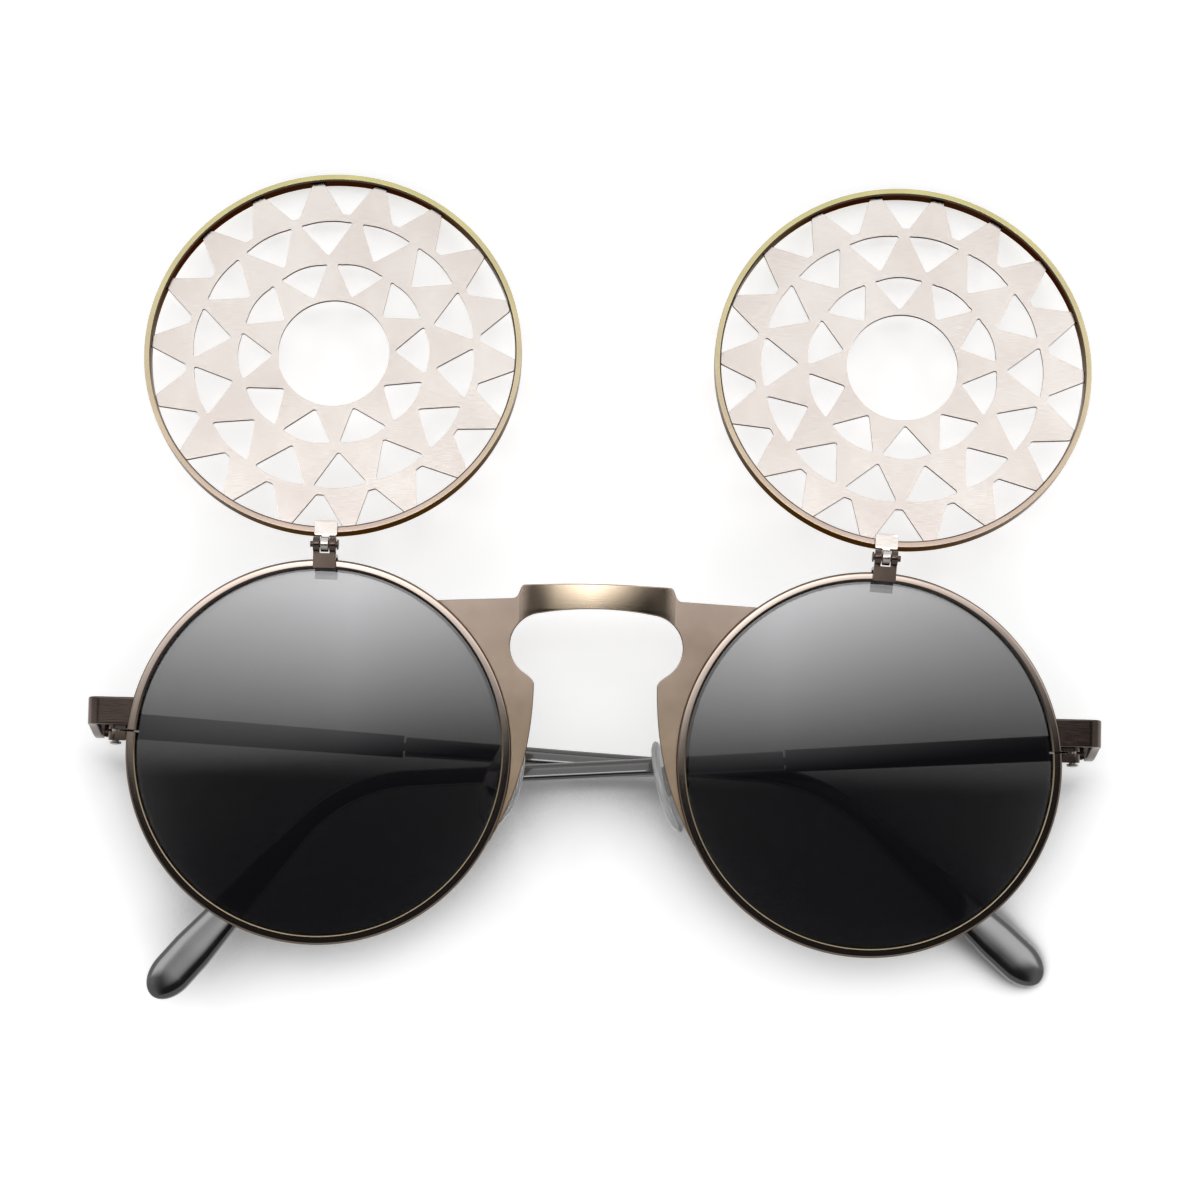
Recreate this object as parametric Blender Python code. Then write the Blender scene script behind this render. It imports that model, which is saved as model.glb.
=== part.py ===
"""Round flip-up sunglasses, folded and lying on a table with the lenses up.

The front is drawn upright in its own frame: X across the face, Y from front to back,
Z up. One empty then lays the whole pair down, so that the front looks up, the folded
temples carry it and the flipped covers lean back until they touch the table.
Left and right are as the lying pair is seen from above. Lengths are in metres.
"""
import math

import bmesh
import bpy
from mathutils import Matrix, Vector

# Fits
GAP = 0.0003             # between pieces that are soldered, seated or pressed together
RUNNING_GAP = 0.00015    # around pins and screws, and between hinge knuckles
OVERRUN = 0.001          # how far a cutter reaches past what it cuts

# Rims and lenses
BRIDGE_WIDTH = 0.0218    # between the rims, at their nearest
RIM_RADIUS = 0.0253
RIM_WALL = 0.0012
RIM_DEPTH = 0.0024
RIM_EDGE = 0.0002        # small bevel on the outer corners
GROOVE_DEPTH = 0.0007
GROOVE_LIP = 0.0004      # flat land on each side of the groove
LENS_THICKNESS = 0.0018
LENS_CURVE = 0.22        # radius of the lens's front surface

# Bridge plate; each drop is measured down from the level of the rims' tops
PLATE_THICKNESS = 0.0009
WING_DROP = 0.0050       # where the wings meet the rims
CREST_DROP = 0.0045      # top edge of the wings beside the saddle
SADDLE_DROP = 0.0027
SADDLE_HALF = 0.0100
SADDLE_STEP = 0.0006     # width of the step from the wings up to the saddle
SADDLE_CROWN = 0.0002    # how much the middle of the saddle stands above its ends
SADDLE_BOW = 0.0018      # how far the saddle bows forward
CREASE_OFFSET = 0.0103   # half the distance between the creases where the bow begins
BOW_COLUMNS = 6          # flat facets over the bow's width
FLAT_SHARE = 0.01        # a face leans less than this from the plate's own plane
ARCH_DROP = 0.0058
LOBE_RADIUS = 0.0043     # round corners of the keyhole
LOBE_OFFSET = 0.0071
LOBE_DROP = 0.0107
SHOULDER_OFFSET = 0.0081
SHOULDER_DROP = 0.0152
SHOULDER_ROUND = 0.0006
FLANK_OFFSET = 0.0082    # pulls the curve of the nose flanks
FLANK_HEIGHT = -0.0030
PLATE_TIP_HEIGHT = -0.0117

# End pieces, closing blocks and their screws
END_REACH = 0.0054       # from the rim to the outer face of the bent strap
STRAP_HEIGHT = 0.00365
STRAP_THICKNESS = 0.0012
STRAP_LEVEL = 0.00475    # height of the strap's middle on the front
STRAP_FACE = 0.00075     # how far its face stands in front of the lens plane
STRAP_BEND = 0.0013      # radius of the bend at the corner, to the strap's middle
STRAP_CORNER = 0.00025
SLIT = 0.0003
SLIT_LEVEL = 0.0022
BLOCK_LENGTH = 0.0024
BLOCK_WIDTH = 0.0019
UPPER_BLOCK_HEIGHT = 0.0020
LOWER_BLOCK_HEIGHT = 0.0012
BLOCK_SCREW_RADIUS = 0.0005
BLOCK_HEAD_RADIUS = 0.00078
BLOCK_HEAD_HEIGHT = 0.00045

# Temple hinges
HINGE_DEPTH = 0.0102     # from the lens plane back to the axis
HINGE_LEVEL = 0.00295
KNUCKLE_RADIUS = 0.00115
KNUCKLE_HEIGHT = 0.0030
MIDDLE_KNUCKLE_HEIGHT = 0.0010
HINGE_SCREW_RADIUS = 0.00045
HINGE_HEAD_RADIUS = 0.00085
HINGE_HEAD_HEIGHT = 0.0005
FOOT_INSET = 0.00025     # inner side of the hinge feet, from the axis
REAR_FOOT_LENGTH = 0.0042
FRONT_FOOT_LENGTH = 0.0042
TEMPLE_DROOP = {"left": math.radians(3.0), "right": math.radians(4.0)}
TEMPLE_FOLD = {"left": math.radians(90.0), "right": math.radians(93.3)}

# Temples; each sleeve is bent by hand, so the two bends differ a little
BAR_OFFSET = 0.0020      # from the hinge axis out to the middle of the bar
BAR_THICKNESS = 0.0012
BAR_HEIGHT = 0.00355
BAR_END_HEIGHT = 0.0030
BAR_CORNER = 0.0003
BAR_BUTT = 0.0020        # how far the bar reaches in front of the axis
BAR_LENGTH = 0.0385
CORE_RADIUS = 0.00055
CORE_LENGTH = 0.0420
SLEEVE_THICKNESS = 0.0020
SLEEVE_ROUND_SHARE = 0.42   # corner radius as a share of the sleeve's thickness
SLEEVE_START_HEIGHT = 0.0027
SLIM_HEIGHT = 0.0024
SLIM_START = 0.0620      # along the temple from the axis
BEND_START = {"left": 0.0867, "right": 0.0891}
BEND_RADIUS = {"left": 0.0250, "right": 0.0208}
TIP_BEND = {"left": math.radians(38.7), "right": math.radians(45.2)}
BEND_HEIGHT = 0.0027
PADDLE_HEIGHT = 0.0057
PADDLE_THICKNESS = 0.0024
PADDLE_LENGTH = 0.0080   # from the tip's end back to where the paddle is widest
TEMPLE_LENGTH = 0.1350
PADDLE_ROUND = 0.0042    # length of the rounded end
END_SHARE = 0.4          # of the paddle's thickness left at its very end

# Covers and their hinges
COVER_WALL = 0.00088
COVER_DEPTH = 0.0022
COVER_EDGE = 0.00015
LATTICE_THICKNESS = 0.00045
AXIS_REACH = 0.0019      # from the rim, and from the ring, to the hinge axis
LEAF_THICKNESS = 0.00045
BARREL_RADIUS = 0.0010
BARREL_WIDTH = 0.0030
MIDDLE_BARREL_WIDTH = 0.0010
PIN_RADIUS = 0.0004
PIN_HEAD_RADIUS = 0.00068
PIN_HEAD_WIDTH = 0.00025
LEAF_OVERHANG = 0.0006   # how far the leaf reaches past the ring's wall
LEAF_ROUND = 0.0003
TAB_OVERHANG = 0.0013    # how far the bracket's rear tab shows inside the rim
COVER_CLOCK = {"left": math.radians(-0.4), "right": math.radians(3.4)}
COVER_SKEW = {"left": math.radians(0.9), "right": math.radians(1.8)}
LATTICE_TURN = {"left": math.radians(-6.9), "right": math.radians(-173.7)}

# The lattice's rows of cut-outs, as shares of the plate's radius
TEETH = 18
MIDDLE_HOLES = 14
INNER_HOLES = 10
VALLEY_SHARE = 0.825
MIDDLE_ARC_SHARE = 0.785
MIDDLE_APEX_SHARE = 0.575
INNER_ARC_SHARE = 0.533
INNER_APEX_SHARE = 0.338
EYE_SHARE = 0.309
MIDDLE_TURN = math.radians(2.1)
INNER_TURN = math.radians(-13.9)
TOOTH_TIP_WIDTH = 0.0016
VALLEY_WIDTH = 0.0010
NECK_WIDTH = 0.0010      # metal left between two neighbouring cut-outs
CUT_ROUND = 0.0004       # radius in the corners of the cut-outs

# Nose pads
PAD_LENGTH = 0.0126
PAD_WIDTH = 0.0062
PAD_THICKNESS = 0.0013
PAD_LEAN = math.radians(17.0)
PAD_SPLAY = {"left": math.radians(52.0), "right": math.radians(20.0)}
PAD_OFFSET = {"left": 0.0128, "right": 0.0111}
PAD_DEPTH = {"left": 0.0027, "right": 0.0034}
PAD_LEVEL = -0.0032
STUD_LENGTH = 0.0012
STUD_WIDTH = 0.0009
BOX_WALL = 0.00035
BOX_LENGTH = 0.0017
BOX_BASE = 0.0004
PAD_SCREW_RADIUS = 0.0003
PAD_STANDOFF = 0.0008    # from the screw's axis to the pad's outer face
ARM_RADIUS = 0.00045
ARM_LEVEL = -0.0055      # height of the arm's foot on the rim
ARM_REACH = 0.0004

# How the pair lies
TABLE_TILT = math.radians(1.5)   # the front's top edge lies lower than its bottom edge

# Facets
ROUND_STEPS = 60
SMALL_STEPS = 16
FINE_STEPS = 10
CORNER_STEPS = 2
ARCH_STEPS = 4

SIDES = (("left", -1), ("right", 1))

# Sizes that follow from those above
LENS_OFFSET = BRIDGE_WIDTH / 2 + RIM_RADIUS
RIM_INNER = RIM_RADIUS - RIM_WALL
WING_TOP = RIM_RADIUS - WING_DROP
WING_CREST = RIM_RADIUS - CREST_DROP
SADDLE_TOP = RIM_RADIUS - SADDLE_DROP
ARCH_TOP = RIM_RADIUS - ARCH_DROP
LOBE_HEIGHT = RIM_RADIUS - LOBE_DROP
SHOULDER_HEIGHT = RIM_RADIUS - SHOULDER_DROP
HINGE_OFFSET = LENS_OFFSET + RIM_RADIUS + END_REACH - STRAP_THICKNESS / 2 - BAR_OFFSET
COVER_AXIS_RADIUS = RIM_RADIUS + AXIS_REACH
COVER_AXIS_DEPTH = -(RIM_DEPTH / 2 + GAP + LEAF_THICKNESS)
COVER_FACE = 2 * GAP + LEAF_THICKNESS          # from the axis to the ring, when closed
LATTICE_RADIUS = RIM_RADIUS - COVER_WALL - GAP


def cover_lean():
    """Angle past upright at which the cover's top meets the table's plane."""
    reach = AXIS_REACH + 2 * RIM_RADIUS
    back = COVER_FACE + COVER_DEPTH
    room = (BAR_OFFSET + SLEEVE_THICKNESS / 2
            + (HINGE_DEPTH - COVER_AXIS_DEPTH) * math.cos(TABLE_TILT)
            - (COVER_AXIS_RADIUS - HINGE_LEVEL) * math.sin(TABLE_TILT))
    whole = math.asin(room / math.hypot(reach, back)) - math.atan2(back, reach)
    return whole - TABLE_TILT


# Scene helpers

def clear_scene():
    for item in list(bpy.data.objects):
        bpy.data.objects.remove(item, do_unlink=True)


def make_material(name, colour, metallic, roughness, transmission=0.0):
    mat = bpy.data.materials.new(name)
    mat.use_nodes = True
    shader = mat.node_tree.nodes["Principled BSDF"]
    shader.inputs["Base Color"].default_value = (*colour, 1.0)
    shader.inputs["Metallic"].default_value = metallic
    shader.inputs["Roughness"].default_value = roughness
    shader.inputs["Transmission Weight"].default_value = transmission
    mat.diffuse_color = (*colour, 1.0)
    return mat


def add_empty(name, parent, matrix):
    item = bpy.data.objects.new(name, None)
    bpy.context.collection.objects.link(item)
    item.parent = parent
    item.matrix_local = matrix
    return item


def add_solid(name, bm, mat, parent, matrix=Matrix()):
    """Turn a closed bmesh into a named object on its parent."""
    bmesh.ops.recalc_face_normals(bm, faces=bm.faces)
    if bm.calc_volume(signed=True) < 0:
        bmesh.ops.reverse_faces(bm, faces=bm.faces)
    mesh = bpy.data.meshes.new(name)
    bm.to_mesh(mesh)
    bm.free()
    item = bpy.data.objects.new(name, mesh)
    bpy.context.collection.objects.link(item)
    if mat:
        mesh.materials.append(mat)
    mesh.shade_smooth()
    mesh.set_sharp_from_angle(angle=math.radians(35))
    item.parent = parent
    item.matrix_local = matrix
    return item


def add_boolean(item, tool_name, bm, operation):
    """Cut a shape out of an object, or fuse one to it."""
    tool = add_solid(tool_name, bm, None, item)
    tool.hide_render = True
    tool.display_type = "WIRE"
    step = item.modifiers.new(tool_name, "BOOLEAN")
    step.operation = operation
    step.solver = "EXACT"
    step.object = tool


# Shape helpers

def arc(centre, radius, start, end, steps):
    """Points on an arc in a plane, both ends included."""
    points = []
    for i in range(steps + 1):
        angle = start + (end - start) * i / steps
        points.append((centre[0] + radius * math.cos(angle),
                       centre[1] + radius * math.sin(angle)))
    return points


def circle(centre, radius, steps):
    return arc(centre, radius, 0, math.tau, steps)[:-1]


def bezier(p0, p1, p2, steps):
    """Points on a quadratic curve, both ends included."""
    points = []
    for i in range(steps + 1):
        t = i / steps
        points.append(tuple((1 - t) ** 2 * a + 2 * t * (1 - t) * b + t * t * c
                            for a, b, c in zip(p0, p1, p2)))
    return points


def rounded(points, radius, steps=CORNER_STEPS):
    """A closed outline with each corner replaced by a short arc."""
    result = []
    count = len(points)
    for i in range(count):
        here = Vector(points[i])
        before = Vector(points[i - 1]) - here
        after = Vector(points[(i + 1) % count]) - here
        turn = before.angle(after)
        cut = min(radius / math.tan(turn / 2), before.length / 2, after.length / 2)
        start = here + before.normalized() * cut
        end = here + after.normalized() * cut
        result += bezier(start, here, end, steps)
    return result


def box_outline(x0, x1, y0, y1):
    return [(x0, y0), (x1, y0), (x1, y1), (x0, y1)]


def loft(sections, closed=False):
    """Skin equal loops of points, with flat ends unless the row of loops closes."""
    bm = bmesh.new()
    loops = [[bm.verts.new(p) for p in section] for section in sections]
    pairs = list(zip(loops, loops[1:]))
    if closed:
        pairs.append((loops[-1], loops[0]))
    for one, two in pairs:
        for i in range(len(one)):
            j = (i + 1) % len(one)
            bm.faces.new((one[i], one[j], two[j], two[i]))
    if not closed:
        bm.faces.new(loops[0])
        bm.faces.new(loops[-1])
    return bm


def revolve(profile, steps, side=1, start=0.0, sweep=math.tau):
    """Turn a profile of (radius, depth) points about the Y axis."""
    whole = math.isclose(sweep, math.tau)
    count = steps if whole else steps + 1
    sections = []
    for i in range(count):
        angle = start + sweep * i / steps
        sections.append([(side * r * math.cos(angle), y, r * math.sin(angle))
                         for r, y in profile])
    return loft(sections, closed=whole)


def prism(outline, holes, low, high, place):
    """Fill a flat outline with holes and extrude it; place maps (u, v, w) to a point."""
    bm = bmesh.new()
    edges = []
    for loop in [outline] + holes:
        verts = [bm.verts.new((u, v, low)) for u, v in loop]
        for i, vert in enumerate(verts):
            edges.append(bm.edges.new((vert, verts[(i + 1) % len(verts)])))
    bmesh.ops.triangle_fill(bm, use_beauty=True, edges=edges, normal=(0, 0, 1))
    grown = bmesh.ops.extrude_face_region(bm, geom=bm.faces[:])
    top = [v for v in grown["geom"] if isinstance(v, bmesh.types.BMVert)]
    bmesh.ops.translate(bm, verts=top, vec=(0, 0, high - low))
    for vert in bm.verts:
        vert.co = Vector(place(*vert.co))
    return bm


def along_x(u, v, w):
    return w, u, v


def along_y(u, v, w):
    return u, w, v


def along_z(u, v, w):
    return u, v, w


def block(x, y, z):
    """A plain block between pairs of limits."""
    return prism(box_outline(*x, *y), [], *z, along_z)


def rod(radius, low, high, place, steps=SMALL_STEPS, centre=(0, 0)):
    return prism(circle(centre, radius, steps), [], low, high, place)


def headed_screw(radius, head_radius, tip, neck, top, place, centre=(0, 0)):
    """A shank from tip to neck with a wider head up to top."""
    sections = []
    for level, size in ((tip, radius), (neck, radius), (neck, head_radius),
                        (top, head_radius)):
        sections.append([place(u, v, level) for u, v in circle(centre, size, FINE_STEPS)])
    return loft(sections)


def rounded_section(origin, across, up, width, height, corner, steps=CORNER_STEPS):
    """A rounded rectangle standing in space on two axes."""
    flat = rounded(box_outline(-width / 2, width / 2, -height / 2, height / 2), corner, steps)
    return [origin + across * u + up * v for u, v in flat]


def smooth(share):
    share = max(0.0, min(1.0, share))
    return share * share * (3 - 2 * share)


# Rims and lenses

def make_rim(name, side, mat, parent):
    """An eye wire with a lens groove, slit at its outer side for the closing screw."""
    half = RIM_DEPTH / 2
    mouth = half - GROOVE_LIP
    profile = [
        (RIM_INNER, -half),
        (RIM_RADIUS - RIM_EDGE, -half),
        (RIM_RADIUS, RIM_EDGE - half),
        (RIM_RADIUS, half - RIM_EDGE),
        (RIM_RADIUS - RIM_EDGE, half),
        (RIM_INNER, half),
        (RIM_INNER, mouth),
        (RIM_INNER + GROOVE_DEPTH, 0),
        (RIM_INNER, -mouth),
    ]
    middle = math.asin(SLIT_LEVEL / RIM_RADIUS)
    half_slit = SLIT / RIM_RADIUS / 2
    bm = revolve(profile, ROUND_STEPS, side, middle + half_slit, math.tau - 2 * half_slit)
    place = Matrix.Translation((side * LENS_OFFSET, 0, 0))
    add_solid("rim_" + name, bm, mat, parent, place)


def make_lens(name, side, mat, parent):
    """A thin curved lens whose bevelled edge sits in the groove."""
    peak = RIM_INNER + GROOVE_DEPTH - GAP
    half = LENS_THICKNESS / 2
    slope = GROOVE_DEPTH / (RIM_DEPTH / 2 - GROOVE_LIP)
    face = peak - slope * half

    def depth(radius):
        return math.sqrt(LENS_CURVE ** 2 - face ** 2) - math.sqrt(LENS_CURVE ** 2 - radius ** 2)

    radii = [0, face / 2, face]
    front = [(r, depth(r) - half) for r in radii]
    back = [(r, depth(r) + half) for r in reversed(radii)]
    bm = revolve(front + [(peak, 0)] + back, ROUND_STEPS, side)
    axis = [v for v in bm.verts if math.hypot(v.co.x, v.co.z) < GAP / 2]
    bmesh.ops.remove_doubles(bm, verts=axis, dist=GAP / 2)
    loose = [edge for edge in bm.edges if not edge.link_faces]
    bmesh.ops.delete(bm, geom=loose, context="EDGES")
    place = Matrix.Translation((side * LENS_OFFSET, 0, 0))
    add_solid("lens_" + name, bm, mat, parent, place)


# Bridge

def bridge_outline():
    """Right half of the plate's outline, from the top middle round to the arch's middle."""
    reach = RIM_RADIUS + GAP
    centre = (LENS_OFFSET, 0)
    wing = math.pi - math.asin(WING_TOP / reach)
    tip = math.pi - math.asin(PLATE_TIP_HEIGHT / reach)
    points = []
    steps = 6
    for i in range(steps):
        share = i / steps
        points.append((SADDLE_HALF * share, SADDLE_TOP + SADDLE_CROWN * (1 - share ** 2)))
    crest = SADDLE_HALF + SADDLE_STEP
    points += bezier((SADDLE_HALF - SADDLE_STEP / 2, SADDLE_TOP), (SADDLE_HALF, SADDLE_TOP),
                     ((SADDLE_HALF + crest) / 2, (SADDLE_TOP + WING_CREST) / 2), 3)
    points += bezier(((SADDLE_HALF + crest) / 2, (SADDLE_TOP + WING_CREST) / 2),
                     (crest, WING_CREST), (crest + SADDLE_STEP, WING_CREST), 3)[1:]
    points += arc(centre, reach, wing, tip, 20)
    flank_top = (SHOULDER_OFFSET, SHOULDER_HEIGHT - SHOULDER_ROUND)
    points += bezier(points[-1], (FLANK_OFFSET, FLANK_HEIGHT), flank_top, 12)[1:]
    lobe = (LOBE_OFFSET, LOBE_HEIGHT)
    low = arc(lobe, LOBE_RADIUS, math.radians(-58), math.radians(86), 14)
    points += bezier(flank_top, (SHOULDER_OFFSET, SHOULDER_HEIGHT), low[0], 3)[1:-1]
    points += low
    edge = low[-1]
    for i in range(1, steps + 1):
        share = 1 - i / steps
        points.append((edge[0] * share, ARCH_TOP + (edge[1] - ARCH_TOP) * share ** 2))
    return points


def cut_across(bm, point, normal):
    """Split the faces along a plane, so that the shape can bend there."""
    bmesh.ops.bisect_plane(bm, geom=bm.verts[:] + bm.edges[:] + bm.faces[:],
                           dist=GAP / 100, plane_co=point, plane_no=normal)


def make_bridge(mat, parent):
    """One stamped plate between the rims; its saddle bows forward between two creases."""
    right = bridge_outline()
    left = [(-x, z) for x, z in reversed(right[1:-1])]
    half = PLATE_THICKNESS / 2
    bm = prism(right + left, [], -half, half, along_y)
    bm.normal_update()
    flat = [face for face in bm.faces if abs(face.normal.x) + abs(face.normal.z) < FLAT_SHARE]
    bmesh.ops.dissolve_faces(bm, faces=flat)
    for i in range(BOW_COLUMNS + 1):
        column = CREASE_OFFSET * (2 * i / BOW_COLUMNS - 1)
        cut_across(bm, (column, 0, 0), (1, 0, 0))
    bmesh.ops.triangulate(bm, faces=bm.faces[:])
    for vert in bm.verts:
        over = max(0, 1 - (vert.co.x / CREASE_OFFSET) ** 2)
        up = smooth((vert.co.z - LOBE_HEIGHT) / (ARCH_TOP - LOBE_HEIGHT))
        vert.co.y -= SADDLE_BOW * over * up
    add_solid("bridge_plate", bm, mat, parent)


# End pieces and closing blocks

def make_end_piece(name, side, mat, parent):
    """A strap that runs out from the rim and bends back to the temple hinge."""
    middle = STRAP_THICKNESS / 2 - STRAP_FACE
    outer = HINGE_OFFSET + BAR_OFFSET
    rear = HINGE_DEPTH - BAR_BUTT - GAP
    bend = (outer - STRAP_BEND, middle + STRAP_BEND)
    start = LENS_OFFSET + RIM_INNER
    path = [(start, middle)] + arc(bend, STRAP_BEND, -math.pi / 2, 0, 5) + [(outer, rear)]
    up = Vector((0, 0, 1))
    sections = []
    for i, (x, y) in enumerate(path):
        ahead = Vector(path[min(i + 1, len(path) - 1)])
        behind = Vector(path[max(i - 1, 0)])
        if i in (0, 1):
            run = Vector((1, 0))
        elif i in (len(path) - 2, len(path) - 1):
            run = Vector((0, 1))
        else:
            run = (ahead - behind).normalized()
        across = Vector((side * run.y, -run.x, 0))
        share = smooth((y - middle) / (rear - middle))
        level = STRAP_LEVEL + (HINGE_LEVEL - STRAP_LEVEL) * share
        origin = Vector((side * x, y, level))
        sections.append(rounded_section(origin, across, up, STRAP_THICKNESS,
                                        STRAP_HEIGHT, STRAP_CORNER, 1))
    item = add_solid("end_piece_" + name, loft(sections), mat, parent)
    reach = RIM_RADIUS + GAP
    tool = rod(reach, -RIM_DEPTH, RIM_DEPTH, along_y, 2 * ROUND_STEPS,
               (side * LENS_OFFSET, 0))
    add_boolean(item, "end_piece_cut_" + name, tool, "DIFFERENCE")


def make_closing_blocks(name, side, metal, steel, parent):
    """Two blocks soldered to the rim's ends and the screw that draws them together."""
    inner = LENS_OFFSET + RIM_RADIUS + GAP
    front = STRAP_THICKNESS - STRAP_FACE + GAP
    middle = front + BLOCK_WIDTH / 2
    round_end = BLOCK_WIDTH / 2
    outline = [(inner, front), (inner, front + BLOCK_WIDTH)]
    outline += arc((inner + BLOCK_LENGTH - round_end, middle), round_end,
                   math.pi / 2, -math.pi / 2, 6)
    outline = [(side * x, y) for x, y in outline]
    centre = (side * (inner + BLOCK_LENGTH - round_end), middle)
    bore = circle(centre, BLOCK_SCREW_RADIUS + RUNNING_GAP, FINE_STEPS)
    low = SLIT_LEVEL - SLIT / 2
    high = SLIT_LEVEL + SLIT / 2
    upper = prism(outline, [bore], high, high + UPPER_BLOCK_HEIGHT, along_z)
    add_solid("closing_block_upper_" + name, upper, metal, parent)
    lower = prism(outline, [bore], low - LOWER_BLOCK_HEIGHT, low, along_z)
    add_solid("closing_block_lower_" + name, lower, metal, parent)
    neck = low - LOWER_BLOCK_HEIGHT - RUNNING_GAP
    screw = headed_screw(BLOCK_SCREW_RADIUS, BLOCK_HEAD_RADIUS,
                         high + UPPER_BLOCK_HEIGHT, neck, neck - BLOCK_HEAD_HEIGHT,
                         along_z, centre)
    add_solid("closing_screw_" + name, screw, steel, parent)


# Temple hinges

def hinge_outline(side, direction, foot_length):
    """A knuckle with a foot that lies against the strap or the bar."""
    outer = BAR_OFFSET - BAR_THICKNESS / 2 - GAP
    inner = FOOT_INSET
    first = math.acos(outer / KNUCKLE_RADIUS)
    last = math.acos(inner / KNUCKLE_RADIUS) - math.tau
    points = arc((0, 0), KNUCKLE_RADIUS, first, last, SMALL_STEPS)
    points += [(inner, foot_length), (outer, foot_length)]
    return [(side * x, direction * y) for x, y in points]


def temple_hinge_frame(name, side):
    """Where the hinge sits; its axis leans so that the folded temple lies on the table."""
    return (Matrix.Translation((side * HINGE_OFFSET, HINGE_DEPTH, HINGE_LEVEL))
            @ Matrix.Rotation(TABLE_TILT, 4, "X")
            @ Matrix.Rotation(-side * TEMPLE_DROOP[name], 4, "Y"))


def make_temple_hinge(name, side, metal, steel, fixed, moving):
    """Two knuckles on the end piece, one on the temple, and the screw through them."""
    bore = circle((0, 0), HINGE_SCREW_RADIUS + RUNNING_GAP, FINE_STEPS)
    half = KNUCKLE_HEIGHT / 2
    bm = prism(hinge_outline(side, -1, FRONT_FOOT_LENGTH), [bore], -half, half, along_z)
    front = add_solid("temple_hinge_front_" + name, bm, metal, fixed)
    slot = MIDDLE_KNUCKLE_HEIGHT / 2 + RUNNING_GAP
    tool = rod(KNUCKLE_RADIUS + GAP, -slot, slot, along_z)
    add_boolean(front, "temple_hinge_slot_" + name, tool, "DIFFERENCE")
    middle = MIDDLE_KNUCKLE_HEIGHT / 2
    bm = prism(hinge_outline(side, 1, REAR_FOOT_LENGTH), [bore], -middle, middle, along_z)
    add_solid("temple_hinge_rear_" + name, bm, metal, moving)
    neck = half + RUNNING_GAP
    bm = headed_screw(HINGE_SCREW_RADIUS, HINGE_HEAD_RADIUS, -half, neck,
                      neck + HINGE_HEAD_HEIGHT, along_z)
    add_solid("temple_hinge_screw_" + name, bm, steel, fixed)


# Temples

def make_temple_bar(name, side, mat, parent):
    """The flat metal bar, with the round core that runs on inside the sleeve."""
    across = Vector((side, 0, 0))
    up = Vector((0, 0, 1))

    def section(along, width, height, corner):
        origin = Vector((side * BAR_OFFSET, along, 0))
        return rounded_section(origin, across, up, width, height, corner, 1)

    core = 2 * CORE_RADIUS
    soft = CORE_RADIUS / 2
    sections = [
        section(-BAR_BUTT, BAR_THICKNESS - BAR_CORNER, BAR_HEIGHT - BAR_CORNER, BAR_CORNER),
        section(BAR_CORNER - BAR_BUTT, BAR_THICKNESS, BAR_HEIGHT, BAR_CORNER),
        section(BAR_LENGTH, BAR_THICKNESS, BAR_END_HEIGHT, BAR_CORNER),
        section(BAR_LENGTH, core, core, soft),
        section(BAR_LENGTH + CORE_LENGTH, core, core, soft),
    ]
    add_solid("temple_bar_" + name, loft(sections), mat, parent)


def temple_path(name, along):
    """Point and direction at a distance along the temple, which bends down at its end."""
    bend = TIP_BEND[name]
    start = BEND_START[name]
    radius = BEND_RADIUS[name]
    past = min(max(along - start, 0), radius * bend)
    angle = past / radius
    straight = min(along, start)
    after = max(along - start - radius * bend, 0)
    y = straight + radius * math.sin(angle) + after * math.cos(bend)
    z = -radius * (1 - math.cos(angle)) - after * math.sin(bend)
    return y, z, angle


def sleeve_size(name, along):
    """Height and thickness of the sleeve at a distance along the temple."""
    bend_end = BEND_START[name] + BEND_RADIUS[name] * TIP_BEND[name]
    full = TEMPLE_LENGTH - PADDLE_LENGTH
    stations = (
        (BAR_LENGTH, SLEEVE_START_HEIGHT, SLEEVE_THICKNESS),
        (SLIM_START, SLIM_HEIGHT, SLEEVE_THICKNESS),
        (BEND_START[name], SLIM_HEIGHT, SLEEVE_THICKNESS),
        (bend_end, BEND_HEIGHT, SLEEVE_THICKNESS),
        (full, PADDLE_HEIGHT, PADDLE_THICKNESS),
    )
    for one, two in zip(stations, stations[1:]):
        if along <= two[0]:
            share = (along - one[0]) / (two[0] - one[0])
            return tuple(a + (b - a) * share for a, b in zip(one[1:], two[1:]))
    return PADDLE_HEIGHT, PADDLE_THICKNESS


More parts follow.
